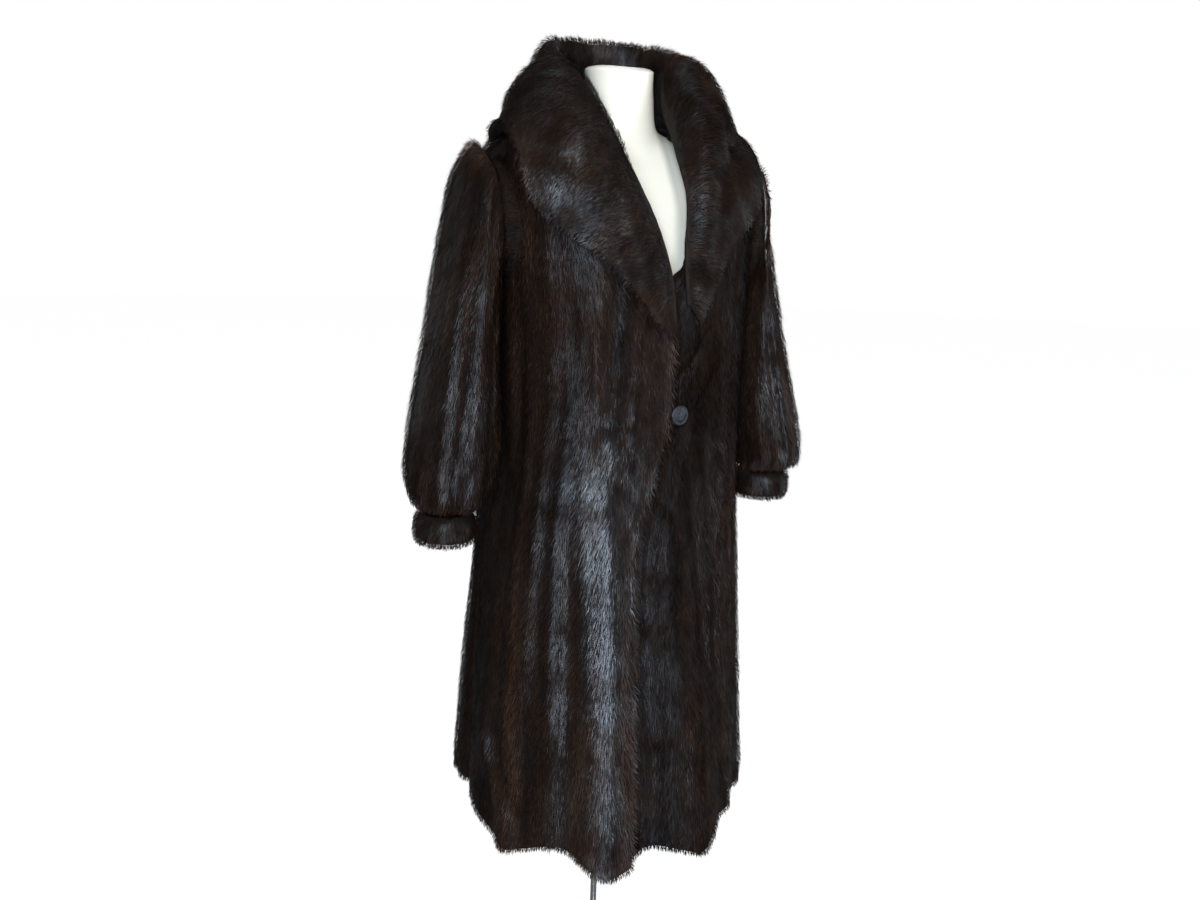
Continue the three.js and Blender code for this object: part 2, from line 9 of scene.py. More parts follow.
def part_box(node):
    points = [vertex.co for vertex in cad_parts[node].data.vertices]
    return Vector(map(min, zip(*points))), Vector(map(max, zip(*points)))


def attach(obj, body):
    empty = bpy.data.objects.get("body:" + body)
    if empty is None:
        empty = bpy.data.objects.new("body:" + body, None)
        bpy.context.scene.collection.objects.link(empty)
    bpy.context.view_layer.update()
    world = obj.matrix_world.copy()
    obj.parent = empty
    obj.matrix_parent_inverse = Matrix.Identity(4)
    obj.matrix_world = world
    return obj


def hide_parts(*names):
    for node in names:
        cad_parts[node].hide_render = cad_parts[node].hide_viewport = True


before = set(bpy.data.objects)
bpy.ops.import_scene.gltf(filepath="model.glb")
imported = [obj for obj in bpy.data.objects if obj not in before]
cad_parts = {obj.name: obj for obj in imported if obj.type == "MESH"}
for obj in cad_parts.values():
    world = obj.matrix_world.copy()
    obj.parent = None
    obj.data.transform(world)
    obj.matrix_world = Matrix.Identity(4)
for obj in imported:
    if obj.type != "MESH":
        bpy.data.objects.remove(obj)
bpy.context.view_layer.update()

# Metres, +Z up; the coat's front faces -Y and the wearer's right side is -X.
# The tables are in millimetres about the stand's rod. Angles round the body are degrees from
# the centre front, positive to the wearer's left.
rod_low, rod_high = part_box("stand_rod")
AXIS = np.array([(rod_low[0] + rod_high[0]) / 2, (rod_low[1] + rod_high[1]) / 2, 0.0])
MM = 0.001

# ---- Tables of the coat's shape ----

# Half width, reach to the front and back, height at the front, side and back, squareness
BODY_RINGS = np.array([
    [82, 72, 76, 1424, 1466, 1472, 2.0],
    [146, 120, 112, 1382, 1452, 1438, 2.2],
    [196, 150, 134, 1336, 1434, 1384, 2.6],
    [206, 166, 148, 1278, 1386, 1316, 2.6],
    [204, 176, 155, 1190, 1226, 1214, 2.5],
    [199, 177, 150, 1030, 1030, 1030, 2.4],
    [205, 199, 176, 850, 850, 850, 2.3],
    [216, 230, 204, 640, 640, 640, 2.2],
    [228, 262, 230, 420, 420, 420, 2.1],
])
HEM_RING = len(BODY_RINGS) - 1
SIDE_SEAM = 92
ARMHOLE = {"z": 1318, "tall": 93, "deep": 74, "from_x": 150}

# Ring, right edge, left edge
FRONT_EDGES = np.array([
    [0, -50, 50], [1, -40, 40], [2, -25, 25], [3, -9, 9], [3.5, -3, 0], [4, 0, -10], [4.6, 1, -12],
    [5, 0, -14], [5.4, -8, -20], [5.8, -15, -25], [6.3, -18, -29], [8, -19, -31],
])

# Where, how wide, how far out at the hem, and the ring that the fold starts from
FOLDS = [
    (-84, 7, 8, 4.5), (-66, 7, 15, 4.2), (-50, 6, 12, 5), (-28.5, 11, 34, 4.6), (3, 8, 27, 5), (24, 7, -17, 5.5),
    (42, 9, -36, 4.8), (62, 7, -2, 4.4), (76, 7, 13, 4.8), (99, 6, -12, 5.2), (117, 8, 14, 4.6), (139, 7, 11, 5),
    (160, 9, 16, 4.4), (183, 7, 9, 5.2), (206, 8, 15, 4.7), (232, 8, 13, 4.4), (256, 6, -16, 5),
]
HEM_DROPS = [(-27, 11, 36), (4, 10, 14), (-66, 15, 38), (160, 40, 10)]

# Creases: two ends as angle and height, half width and depth in millimetres
BODY_CREASES = [
    (-2, 1046, -44, 1000, 20, -5.0), (-4, 1060, -40, 1092, 17, -3.4), (-10, 1046, -34, 1046, 13, 3.0),
    (-24, 1120, -21, 1010, 9, -3.2), (-38, 1210, -34, 1040, 11, 3.8), (-47, 1230, -44, 1080, 9, -3.4),
    (-31, 1180, -28, 1060, 7, -2.6), (-78, 575, -61, 440, 14, -8.0), (-86, 600, -72, 452, 12, 5.0),
    (-58, 950, -60, 610, 13, 4.0), (-46, 900, -42, 560, 12, -4.5), (-14, 940, -16, 560, 10, -4.0),
    (27, 1196, 5, 1072, 9, -6.0), (34, 1180, 12, 1062, 10, 5.5), (20, 1150, 8, 1100, 6, -3.0),
    (14, 1030, 36, 1000, 10, -3.5), (12, 980, 15, 560, 9, -4.0), (33, 1000, 34, 620, 9, 3.6),
    (56, 1120, 54, 820, 11, -4.0), (70, 1100, 68, 760, 10, 3.5), (84, 980, 86, 520, 10, -4.0),
    (104, 1120, 108, 720, 12, 4.0), (124, 1180, 128, 900, 10, -4.2), (132, 860, 129, 470, 11, -4.4),
    (150, 1250, 146, 1060, 12, 3.6), (150, 1010, 168, 985, 10, -3.4), (172, 1080, 170, 760, 10, -4.6),
    (178, 980, 196, 1002, 11, -3.2), (196, 1200, 199, 960, 9, 3.4), (192, 700, 195, 470, 9, -4.0),
    (216, 1150, 219, 840, 11, -4.4), (224, 780, 221, 500, 10, 4.2), (240, 1060, 243, 700, 12, -4.0),
    (262, 900, 266, 560, 9, 3.8), (-90, 1150, -88, 900, 9, -3.6), (-72, 1180, -70, 940, 10, -3.8),
]

# Underarm line x and z, top line x and z, half depth, how far forward, depth of the gathers
SLEEVE_RINGS = np.array([
    [190, 1225.3, 190, 1410.7, 73.7, 0, 0],
    [213, 1225.3, 213, 1410.7, 73.7, 0, 0],
    [214, 1215, 234, 1428, 82, 2, 2.5],
    [215, 1198, 256, 1402, 86, 6, 2.5],
    [215, 1165, 274, 1340, 86, 12, 1],
    [215, 1110, 297, 1245, 84, 18, 0],
    [216, 1045, 317, 1135, 84, 26, 0],
    [221, 998, 335, 1052, 84, 33, 1.5],
    [231, 952, 347, 972, 82, 38, 3],
    [240, 924, 345, 932, 74, 41, 3.5],
    [253, 911, 333, 911, 44, 42, 1.5],
])
SLEEVE_GATHERS = 7
UNDER_SWING, CUFF_SWING = 0.24, 0.72
SWING = {-1: 0, 1: -32}
RISE = {-1: 0, 1: 16}
CUFF = {"half": 47, "deep": 49, "x": 293, "forward": 42, "top": 910.6, "bottom": 861, "thick": 24}

# Two ends as turns round the sleeve and shares of its length, half width and depth
SLEEVE_CREASES = {
    -1: [(0.70, 0.38, 0.66, 0.80, 15, -6.0), (0.78, 0.42, 0.76, 0.78, 13, 4.0), (0.60, 0.50, 0.58, 0.86, 12, 4.5),
         (0.55, 0.60, 0.54, 0.90, 10, -5.0), (0.85, 0.55, 0.84, 0.86, 13, -4.5), (0.92, 0.30, 0.90, 0.62, 14, 3.2),
         (0.66, 0.80, 0.64, 0.93, 8, 4.0), (0.73, 0.82, 0.73, 0.93, 7, -4.0), (0.81, 0.80, 0.80, 0.93, 8, 4.0),
         (0.20, 0.40, 0.24, 0.84, 15, -5.0), (0.30, 0.46, 0.31, 0.88, 12, 4.4), (0.38, 0.58, 0.39, 0.88, 11, -4.0),
         (0.10, 0.56, 0.11, 0.86, 13, 4.0)],
    1: [(0.28, 0.40, 0.33, 0.80, 14, -5.5), (0.20, 0.46, 0.21, 0.82, 12, 4.2), (0.38, 0.56, 0.40, 0.88, 11, 4.8),
        (0.13, 0.60, 0.12, 0.88, 11, -4.6), (0.24, 0.78, 0.25, 0.93, 8, 5.0), (0.31, 0.80, 0.32, 0.93, 8, -5.0),
        (0.17, 0.80, 0.17, 0.93, 8, 4.0), (0.72, 0.42, 0.69, 0.82, 14, -4.8), (0.62, 0.50, 0.61, 0.86, 12, 4.6),
        (0.82, 0.52, 0.83, 0.86, 12, 4.0), (0.90, 0.62, 0.91, 0.90, 11, -4.0)],
}

# Lean, trim and puff of the left side, then seam, roll, crown, fall and edge as x, y, z
COLLAR_STATIONS = np.array([
    [0, 0, 0, 0, 80, 1479, 0, 92, 1568, 0, 114, 1572, 0, 138, 1496, 0, 158, 1408],
    [0, 0, 10, 44, 70, 1477, 50, 80, 1568, 58, 102, 1571, 77, 127, 1496, 92, 150, 1408],
    [-3, 0, 26, 72, 40, 1476, 82, 44, 1560, 96, 56, 1563, 130, 72, 1502, 150, 94, 1424],
    [-7, 6, 30, 82, 0, 1477, 79, 0, 1540, 104, 2, 1556, 150, 8, 1512, 181, 12, 1457],
    [-14, 13, 14, 74, -42, 1464, 62, -46, 1496, 90, -52, 1524, 146, -62, 1484, 196, -80, 1424],
    [-15, 23, 0, 64, -92, 1428, 50, -106, 1436, 84, -120, 1460, 138, -124, 1424, 182, -120, 1348],
    [-14, 20, 0, 50, -136, 1372, 38, -152, 1364, 66, -164, 1376, 108, -160, 1348, 138, -150, 1306],
    [-9, 12, 0, 28, -164, 1306, 19, -176, 1296, 40, -186, 1300, 68, -182, 1282, 90, -174, 1260],
    [-4, 6, 0, 18, -174, 1252, 11, -184, 1242, 24, -192, 1240, 38, -192, 1226, 52, -188, 1210],
    [0, 0, 0, 14, -186, 1200, 11, -190, 1190, 13, -193, 1184, 17, -194, 1178, 22, -194, 1172],
], float)
TRIM_SHARE = np.array([0, 0, 0.2, 0.6, 1])
PUFF_OUT = np.array([0, 0.15, 0.75, 1, 0.5])
PUFF_UP = np.array([0, 0.2, 0.4, 0.8, 0.4])
LEFT_LAPEL_END = 8.6
COLLAR_WALL = 18
COLLAR_LIFT = 9

FORM_RINGS = np.array([
    [50, 52, 50, 1541, 1545, 1549],
    [51, 53, 51, 1500, 1506, 1512],
    [59, 60, 58, 1428, 1460, 1470],
    [96, 84, 78, 1392, 1444, 1440],
    [146, 110, 98, 1356, 1439, 1405],
    [174, 128, 112, 1318, 1396, 1352],
    [176, 140, 120, 1240, 1260, 1250],
    [158, 134, 114, 1150, 1150, 1150],
    [128, 104, 92, 1030, 1030, 1030],
    [166, 122, 128, 860, 860, 860],
    [160, 116, 118, 790, 790, 790],
])

# Skins lie this far under the outside of the fur, and are this thick
BODY_PILE, BODY_SKIN = 6.5, 2.6
SLEEVE_PILE, SLEEVE_SKIN = 6.0, 2.4
COLLAR_SKIN = 4.0


# ---- Shapes ----

def along(places, values, at):
    """Reads a smooth curve through a table's rows at any place between them."""
    places = np.asarray(places, float)
    values = np.asarray(values, float)
    at = np.asarray(at, float)
    last = len(places) - 1
    before = np.maximum(np.arange(last + 1) - 1, 0)
    after = np.minimum(np.arange(last + 1) + 1, last)
    run = places[after] - places[before]
    rise = values[after] - values[before]
    many = values.ndim > 1
    slopes = rise / (run[:, None] if many else run)
    i = np.clip(np.searchsorted(places, at, side="left") - 1, 0, last - 1)
    step = places[i + 1] - places[i]
    t = np.clip((at - places[i]) / step, 0, 1)
    if many:
        t, step = t[..., None], step[..., None]
    rest = 1 - t
    start = values[i] * (1 + 2 * t) * rest ** 2 + slopes[i] * step * t * rest ** 2
    end = values[i + 1] * (3 - 2 * t) * t ** 2 - slopes[i + 1] * step * rest * t ** 2
    return start + end


def ease(low, high, value):
    t = np.clip((value - low) / (high - low), 0, 1)
    return t * t * (3 - 2 * t)


def bell(distance, wide):
    return np.exp(-((distance / wide) ** 2))


def turn_between(a, b):
    return np.mod(np.mod(a - b, 360) + 540, 360) - 180


def unit(vectors):
    return vectors / np.maximum(np.linalg.norm(vectors, axis=-1, keepdims=True), 1e-9)


def ring_point(rings, angle, ring, power):
    """Reach and height of a point on a ring whose plan is an oval."""
    row = along(np.arange(len(rings)), rings, ring)
    side, ahead = np.sin(np.radians(angle)), np.cos(np.radians(angle))
    deep = np.where(ahead > 0, row[..., 1], row[..., 2])
    reach = ((np.abs(side) / row[..., 0]) ** power + (np.abs(ahead) / deep) ** power) ** (-1 / power)
    end = np.where(ahead > 0, row[..., 3], row[..., 5])
    return reach, row[..., 4] + (end - row[..., 4]) * ahead ** 2


def near_line(x, y, x0, y0, x1, y1, wide):
    """1 on a line between two places, fading to its sides and ends."""
    run = np.array([x1 - x0, y1 - y0])
    length = np.hypot(*run)
    t = ((x - x0) * run[0] + (y - y0) * run[1]) / length ** 2
    aside = ((x - x0) * run[1] - (y - y0) * run[0]) / length
    return bell(aside, wide) * ease(-0.12, 0.3, t) * (1 - ease(0.7, 1.12, t))


def plain_body(angle, ring, sunk=0.0):
    reach, z = ring_point(BODY_RINGS, angle, ring, along(np.arange(HEM_RING + 1), BODY_RINGS[:, 6], ring))
    reach = reach - sunk
    for at, wide, rise, start in FOLDS:
        reach = reach + rise * bell(turn_between(angle, at), wide) * ease(start, HEM_RING, ring)
    for at, wide, drop in HEM_DROPS:
        z = z - drop * bell(turn_between(angle, at), wide) * ease(HEM_RING - 1, HEM_RING, ring)
    a = np.radians(angle)
    return np.stack([reach * np.sin(a), -reach * np.cos(a), z], -1)


STRIPS = 34


def strip_place(angle, ring):
    """Where a point lies across its pelt strip, from 0 to 1, and which strip it is."""
    sway = 0.25 * np.sin(ring * 1.7 + angle * 0.05)
    place = np.mod(angle, 360) / 360 * STRIPS + sway
    return place - np.floor(place), np.floor(place).astype(int) % STRIPS


def body(angle, ring, sunk=0.0):
    """The outside of the coat's body with its creases and the soft ridges of its strips."""
    spot = plain_body(angle, ring, sunk)
    out = np.stack([np.sin(np.radians(angle)), -np.cos(np.radians(angle)), np.zeros_like(angle)], -1)
    mm_per_degree = 3.4
    lift = np.zeros_like(spot[..., 2])
    for a0, z0, a1, z1, wide, depth in BODY_CREASES:
        aside = turn_between(angle, a0) * mm_per_degree
        lift = lift + depth * near_line(aside, spot[..., 2], 0, z0, (a1 - a0) * mm_per_degree, z1, wide)
    across, which = strip_place(angle, ring)
    lift = lift - 0.8 * np.cos(2 * np.pi * across) * ease(1.0, 2.5, ring)
    near_seam = np.maximum(bell(turn_between(angle, SIDE_SEAM), 3), bell(turn_between(angle, -SIDE_SEAM), 3))
    lift = lift - 2.0 * near_seam
    return spot + out * lift[..., None]


def lap_depth(angle, ring):
    """The left front lies one wall deeper where the right front laps over it."""
    edge = along(FRONT_EDGES[:, 0], FRONT_EDGES[:, 1], ring)
    return 14 * (1 - ease(edge + 5, edge + 14, angle)) * ease(2.6, 3.6, ring)


def right_edge(ring):
    return along(FRONT_EDGES[:, 0], FRONT_EDGES[:, 1], ring)


def left_edge(ring):
    return along(FRONT_EDGES[:, 0], FRONT_EDGES[:, 2], ring)


def panel(first, last, lapped=False, inset=(0, 0)):
    """A body panel as a surface of two shares, round and down."""
    def surface(u, v):
        ring = v * HEM_RING
        reach = along(np.arange(HEM_RING + 1), BODY_RINGS[:, 0], ring)
        one_mm = np.degrees(1 / reach)
        low = first(ring) + inset[0] * one_mm
        high = last(ring) - inset[1] * one_mm
        angle = low + (high - low) * u
        return body(angle, ring, lap_depth(angle, ring) if lapped else 0.0)
    return surface


def sleeve(side):
    def surface(u, v):
        last = len(SLEEVE_RINGS) - 1
        ring = v * last
        row = along(np.arange(last + 1), SLEEVE_RINGS, ring)
        turn = 2 * np.pi * u
        swing = SWING[side] * ease(1.5, 4, ring)
        gathered = ease(8, last, ring)
        rise = RISE[side] * ease(4, last, ring)
        under = np.stack([row[..., 0] + swing * (UNDER_SWING + (CUFF_SWING - UNDER_SWING) * gathered), row[..., 1] + rise], -1)
        top = np.stack([row[..., 2] + swing * (1 + (CUFF_SWING - 1) * gathered), row[..., 3] + rise], -1)
        middle, half = (under + top) / 2, (top - under) / 2
        ripple = row[..., 6] * np.cos(SLEEVE_GATHERS * turn)
        ripple = ripple + 0.8 * bell(ring - 2.4, 0.9) * np.cos(23 * turn + 2 * np.sin(3 * turn))
        ripple = ripple + 1.1 * ease(7.2, 9.2, ring) * np.cos(19 * turn + 1.5 * np.sin(2 * turn))
        ripple = ripple - 0.6 * np.cos(2 * np.pi * 13 * u) * ease(2.5, 4, ring)
        for u0, v0, u1, v1, wide, depth in SLEEVE_CREASES[side]:
            aside = (np.mod(u - u0 + 0.5, 1) - 0.5) * 520
            ripple = ripple + depth * near_line(aside, v * 560, 0, v0 * 560, (u1 - u0) * 520, v1 * 560, wide)
        up = np.cos(turn) * (1 + ripple / np.linalg.norm(half, axis=-1))
        across = np.sin(turn) * (row[..., 4] + ripple)
        x = middle[..., 0] + half[..., 0] * up
        z = middle[..., 1] + half[..., 1] * up
        return np.stack([side * x, across - row[..., 5], z], -1)
    return surface


def cuff(side, sunk=0.0):
    def surface(u, v):
        turn, around = 2 * np.pi * u, 2 * np.pi * v
        tall = (CUFF["top"] - CUFF["bottom"]) / 2 - sunk
        thick = CUFF["thick"] / 2 - sunk

        def squeeze(value):
            return np.sign(value) * np.abs(value) ** 0.75
        lumps = 1.2 * np.sin(5 * turn + 1) * np.cos(around) + 0.8 * np.sin(9 * turn)
        out = squeeze(np.cos(around)) * thick - CUFF["thick"] / 2 + lumps
        x = CUFF["x"] + CUFF_SWING * SWING[side] + np.cos(turn) * (CUFF["half"] + out)
        y = np.sin(turn) * (CUFF["deep"] + out) - CUFF["forward"]
        z = (CUFF["top"] + CUFF["bottom"]) / 2 + RISE[side] + squeeze(np.sin(around)) * tall
        return np.stack([side * x, y, z], -1)
    return surface


def body_way_out(angle, ring):
    alongside = plain_body(angle + 1, ring) - plain_body(angle - 1, ring)
    down = plain_body(angle, np.minimum(ring + 0.05, HEM_RING)) - plain_body(angle, np.maximum(ring - 0.05, 0))
    return unit(np.cross(down, alongside))


def lifted_off_body(points, clearance):
    """Moves points that would sink into the coat out to lie on it."""
    shape = points.shape
    points = points.reshape(-1, 3)
    angle = np.degrees(np.arctan2(points[:, 0], -points[:, 1]))
    ring = np.zeros(len(points))
    least = np.full(len(points), np.inf)

    def try_at(a, r):
        nonlocal angle, ring, least
        distance = np.linalg.norm(plain_body(a, r) - points, axis=-1)
        better = distance < least
        angle, ring = np.where(better, a, angle), np.where(better, r, ring)
        least = np.where(better, distance, least)
    polar = angle.copy()
    for r in np.arange(0, 5.01, 0.25):
        try_at(polar, np.full(len(points), r))
    for step in (0.2, 0.1, 0.05, 0.025):
        for _ in range(3):
            a, r = angle.copy(), ring.copy()
            for aside in (-step, step):
                try_at(a + np.degrees(aside / 2), r)
                try_at(a, np.maximum(r + aside, 0))
    out = body_way_out(angle, ring)
    height = np.sum((points - plain_body(angle, ring)) * out, -1)
    short = clearance - height
    lift = np.where(ring > 0, (short + np.hypot(short, 2)) / 2, 0)
    return (points + out * lift[:, None]).reshape(shape)


# Dents and swells of the collar: two ends as place and share across, half width, depth
COLLAR_CREASES = [
    (-0.26, 0.42, -0.20, 0.05, 9, -7.0), (-0.20, 0.60, -0.16, 0.18, 12, 5.0), (-0.42, 0.72, -0.58, 0.62, 16, 5.0),
    (-0.46, 0.95, -0.52, 0.70, 13, -5.0), (-0.62, 0.92, -0.74, 0.72, 12, -4.0), (-0.70, 0.60, -0.84, 0.62, 11, 4.0),
    (-0.34, 0.92, -0.30, 0.60, 12, 4.0), (-0.06, 0.92, -0.03, 0.55, 12, -4.6), (0.07, 0.92, 0.09, 0.55, 13, 4.6),
    (0.20, 0.60, 0.17, 0.15, 11, -5.0), (0.34, 0.92, 0.31, 0.60, 12, -4.6), (0.44, 0.74, 0.60, 0.64, 14, 5.0),
    (0.50, 0.95, 0.56, 0.70, 11, -5.0), (0.68, 0.92, 0.78, 0.70, 10, -4.0), (0.03, 0.50, 0.01, 0.15, 14, -3.5),
    (-0.34, 0.50, -0.20, 0.46, 26, -11.0), (-0.10, 0.45, 0.08, 0.45, 18, 6.0), (0.22, 0.50, 0.38, 0.50, 18, -7.0),
]


def collar(u, v):
    """The collar's middle surface, from the right closing over the neck to the left one."""
    place = np.clip(2 * u - 1, -1, 1)
    last = len(COLLAR_STATIONS) - 1
    side = np.where(place < 0, -1.0, 1.0)
    station = np.abs(place) * np.where(place < 0, last, LEFT_LAPEL_END)
    row = along(np.arange(last + 1), COLLAR_STATIONS, station)
    trim = np.where(place < 0, 0, row[..., 1])
    puff = np.where(place < 0, 0, row[..., 2])[..., None]
    spots = row[..., 3:].reshape(row.shape[:-1] + (5, 3)).copy()
    spots[..., 0] = side[..., None] * spots[..., 0] + row[..., :1] - trim[..., None] * TRIM_SHARE + puff * PUFF_OUT
    spots[..., 2] += puff * PUFF_UP
    places = np.clip(v, 0, 1) * 4
    i = np.clip(np.ceil(places).astype(int) - 1, 0, 3)

    def pick(n):
        return np.take_along_axis(spots, np.clip(n, 0, 4)[..., None, None], -2)[..., 0, :]
    y0, y1 = pick(i), pick(i + 1)
    s0 = (y1 - pick(i - 1)) / np.where(i > 0, 2, 1)[..., None]
    s1 = (pick(i + 2) - y0) / np.where(i < 3, 2, 1)[..., None]
    t = (places - i)[..., None]
    rest = 1 - t
    point = y0 * (1 + 2 * t) * rest ** 2 + s0 * t * rest ** 2 + y1 * (3 - 2 * t) * t ** 2 - s1 * rest * t ** 2
    return lifted_off_body(point, COLLAR_WALL / 2 + COLLAR_LIFT)


def collar_swell(u, v):
    """How far the collar's fur swells out or dents in."""
    place = 2 * u - 1
    lift = np.zeros_like(place)
    for p0, v0, p1, v1, wide, depth in COLLAR_CREASES:
        lift = lift + depth * near_line(place * 700, v * 170, p0 * 700, v0 * 170, p1 * 700, v1 * 170, wide)
    return lift * ease(0.0, 0.12, v) * (1 - 0.5 * ease(0.85, 1, v))


class Laid:
    """A surface measured once on a fine grid, round and down, and read anywhere on it."""

    def __init__(self, spots, facing=1, tube=False):
        self.spots, self.facing, self.tube = spots, facing, tube
        if tube:
            ring = spots[:-1]
            around = np.roll(ring, -1, 0) - np.roll(ring, 1, 0)
            around = np.concatenate([around, around[:1]])
        else:
            around = np.gradient(spots, axis=0)
        self.down = unit(np.gradient(spots, axis=1))
        self.around = unit(around)
        self.out = facing * unit(np.cross(self.down, self.around))

    def moved(self, lift):
        return Laid(self.spots + self.out * np.asarray(lift)[..., None], self.facing, self.tube)

    def shares(self):
        columns, rows = self.spots.shape[:2]
        return np.meshgrid(np.linspace(0, 1, columns), np.linspace(0, 1, rows), indexing="ij")

    def read(self, u, v, *fields):
        columns, rows = self.spots.shape[0] - 1, self.spots.shape[1] - 1
        x, y = np.clip(u, 0, 1) * columns, np.clip(v, 0, 1) * rows
        i = np.minimum(x.astype(int), columns - 1)
        j = np.minimum(y.astype(int), rows - 1)
        fx, fy = (x - i)[:, None], (y - j)[:, None]
        found = []
        for field in fields:
            low = field[i, j] * (1 - fx) + field[i + 1, j] * fx
            high = field[i, j + 1] * (1 - fx) + field[i + 1, j + 1] * fx
            found.append(low * (1 - fy) + high * fy)
        return found


def laid_out(surface, columns, rows, facing=1, tube=False):
    u, v = np.meshgrid(np.linspace(0, 1, columns + 1), np.linspace(0, 1, rows + 1), indexing="ij")
    spots = surface(u.ravel(), v.ravel()).reshape(columns + 1, rows + 1, 3)
    return Laid(spots, facing, tube)


# ---- Materials ----

def new_material(name):
    material = bpy.data.materials.new(name)
    material.use_nodes = True
    tree = material.node_tree
    shader = next(n for n in tree.nodes if n.type == "BSDF_PRINCIPLED")
    return material, tree, shader


def ramp(tree, factor, stops):
    node = tree.nodes.new("ShaderNodeValToRGB")
    while len(node.color_ramp.elements) < len(stops):
        node.color_ramp.elements.new(0.5)
    for element, (place, colour) in zip(node.color_ramp.elements, stops):
        element.position = place
        element.color = (*colour, 1)
    tree.links.new(factor, node.inputs["Fac"])
    return node.outputs["Color"]


def noise(tree, scale, detail=3.0, stretch=(1, 1, 1), rough=0.5):
    place = tree.nodes.new("ShaderNodeTexCoord")
    mapping = tree.nodes.new("ShaderNodeMapping")
    mapping.inputs["Scale"].default_value = stretch
    tree.links.new(place.outputs["Object"], mapping.inputs["Vector"])
    node = tree.nodes.new("ShaderNodeTexNoise")
    node.inputs["Scale"].default_value = scale
    node.inputs["Detail"].default_value = detail
    node.inputs["Roughness"].default_value = rough
    tree.links.new(mapping.outputs["Vector"], node.inputs["Vector"])
    return node.outputs["Fac"]


def bump(tree, shader, height, strength, distance):
    node = tree.nodes.new("ShaderNodeBump")
    node.inputs["Strength"].default_value = strength
    node.inputs["Distance"].default_value = distance
    tree.links.new(height, node.inputs["Height"])
    tree.links.new(node.outputs["Normal"], shader.inputs["Normal"])


def fur_hair(name, stops, rough, sheen):
    material, tree, shader = new_material(name)
    tone = tree.nodes.new("ShaderNodeAttribute")
    tone.attribute_name = "tone"
    tree.links.new(ramp(tree, tone.outputs["Fac"], stops), shader.inputs["Base Color"])
    shader.inputs["Roughness"].default_value = rough
    shader.inputs["IOR"].default_value = 1.5
    shine = tree.nodes.new("ShaderNodeAttribute")
    shine.attribute_name = "shine"
    tree.links.new(shine.outputs["Fac"], shader.inputs["Specular IOR Level"])
    # Painted reflection colour: the bluish specular tint stands in for the cool light that the highlights reflect.
    shader.inputs["Specular Tint"].default_value = (0.80, 0.89, 1.0, 1)
    shader.inputs["Sheen Weight"].default_value = sheen
    shader.inputs["Sheen Roughness"].default_value = 0.45
    shader.inputs["Sheen Tint"].default_value = (0.75, 0.85, 1.0, 1)
    return material


def fur_ground(name, dark, light):
    material, tree, shader = new_material(name)
    streaks = noise(tree, 260, 4, (1, 1, 0.12), 0.6)
    tree.links.new(ramp(tree, streaks, [(0.35, dark), (0.7, light)]), shader.inputs["Base Color"])
    shader.inputs["Roughness"].default_value = 0.85
    shader.inputs["Specular IOR Level"].default_value = 0.2
    bump(tree, shader, streaks, 0.6, 0.002)
    return material


def satin_lining():
    material, tree, shader = new_material("satin_lining")
    weave = noise(tree, 900, 2, (1, 1, 0.2))
    tree.links.new(ramp(tree, weave, [(0.3, (0.010, 0.007, 0.006)), (0.7, (0.018, 0.012, 0.010))]),
                   shader.inputs["Base Color"])
    shader.inputs["Roughness"].default_value = 0.38
    bump(tree, shader, weave, 0.15, 0.0005)
    return material


def form_shell():
    material, tree, shader = new_material("glossy_form_shell")
    cloud = noise(tree, 5, 2)
    tree.links.new(ramp(tree, cloud, [(0.3, (0.60, 0.59, 0.52)), (0.7, (0.65, 0.64, 0.57))]),
                   shader.inputs["Base Color"])
    shader.inputs["Roughness"].default_value = 0.30
    shader.inputs["Coat Weight"].default_value = 0.35
    shader.inputs["Coat Roughness"].default_value = 0.12
    shader.inputs["Subsurface Weight"].default_value = 0.06
    bump(tree, shader, noise(tree, 60, 2), 0.06, 0.002)
    return material


def brushed_steel():
    material, tree, shader = new_material("brushed_steel")
    brushed = noise(tree, 420, 3, (1, 1, 0.04))
    tree.links.new(ramp(tree, brushed, [(0.3, (0.34, 0.345, 0.35)), (0.7, (0.50, 0.505, 0.51))]),
                   shader.inputs["Base Color"])
    shader.inputs["Metallic"].default_value = 1
    shader.inputs["Roughness"].default_value = 0.32
    bump(tree, shader, brushed, 0.12, 0.0006)
    return material


def button_horn():
    material, tree, shader = new_material("button_horn")
    mottle = noise(tree, 190, 4, (1, 1, 1), 0.65)
    tree.links.new(ramp(tree, mottle, [(0.40, (0.004, 0.005, 0.008)), (0.75, (0.022, 0.027, 0.038))]),
                   shader.inputs["Base Color"])
    shader.inputs["Roughness"].default_value = 0.46
    shader.inputs["Specular IOR Level"].default_value = 0.35
    bump(tree, shader, mottle, 0.5, 0.0012)
    return material


MINK_STOPS = [(0.0, (0.0026, 0.0015, 0.0011)), (0.35, (0.0115, 0.0062, 0.0040)),
              (0.65, (0.046, 0.0235, 0.0138)), (1.0, (0.15, 0.078, 0.044))]
fur_of_body = fur_hair("mink_hair", MINK_STOPS, 0.38, 0.0)
fur_of_collar = fur_hair("collar_hair", MINK_STOPS, 0.42, 0.0)
ground = fur_ground("mink_underwool", (0.0025, 0.0017, 0.0014), (0.014, 0.0085, 0.0060))
lining = satin_lining()


# ---- Skins ----

def new_object(name, mesh, *materials):
    thing = bpy.data.objects.new(name, mesh)
    bpy.context.scene.collection.objects.link(thing)
    for material in materials:
        mesh.materials.append(material)
    return thing


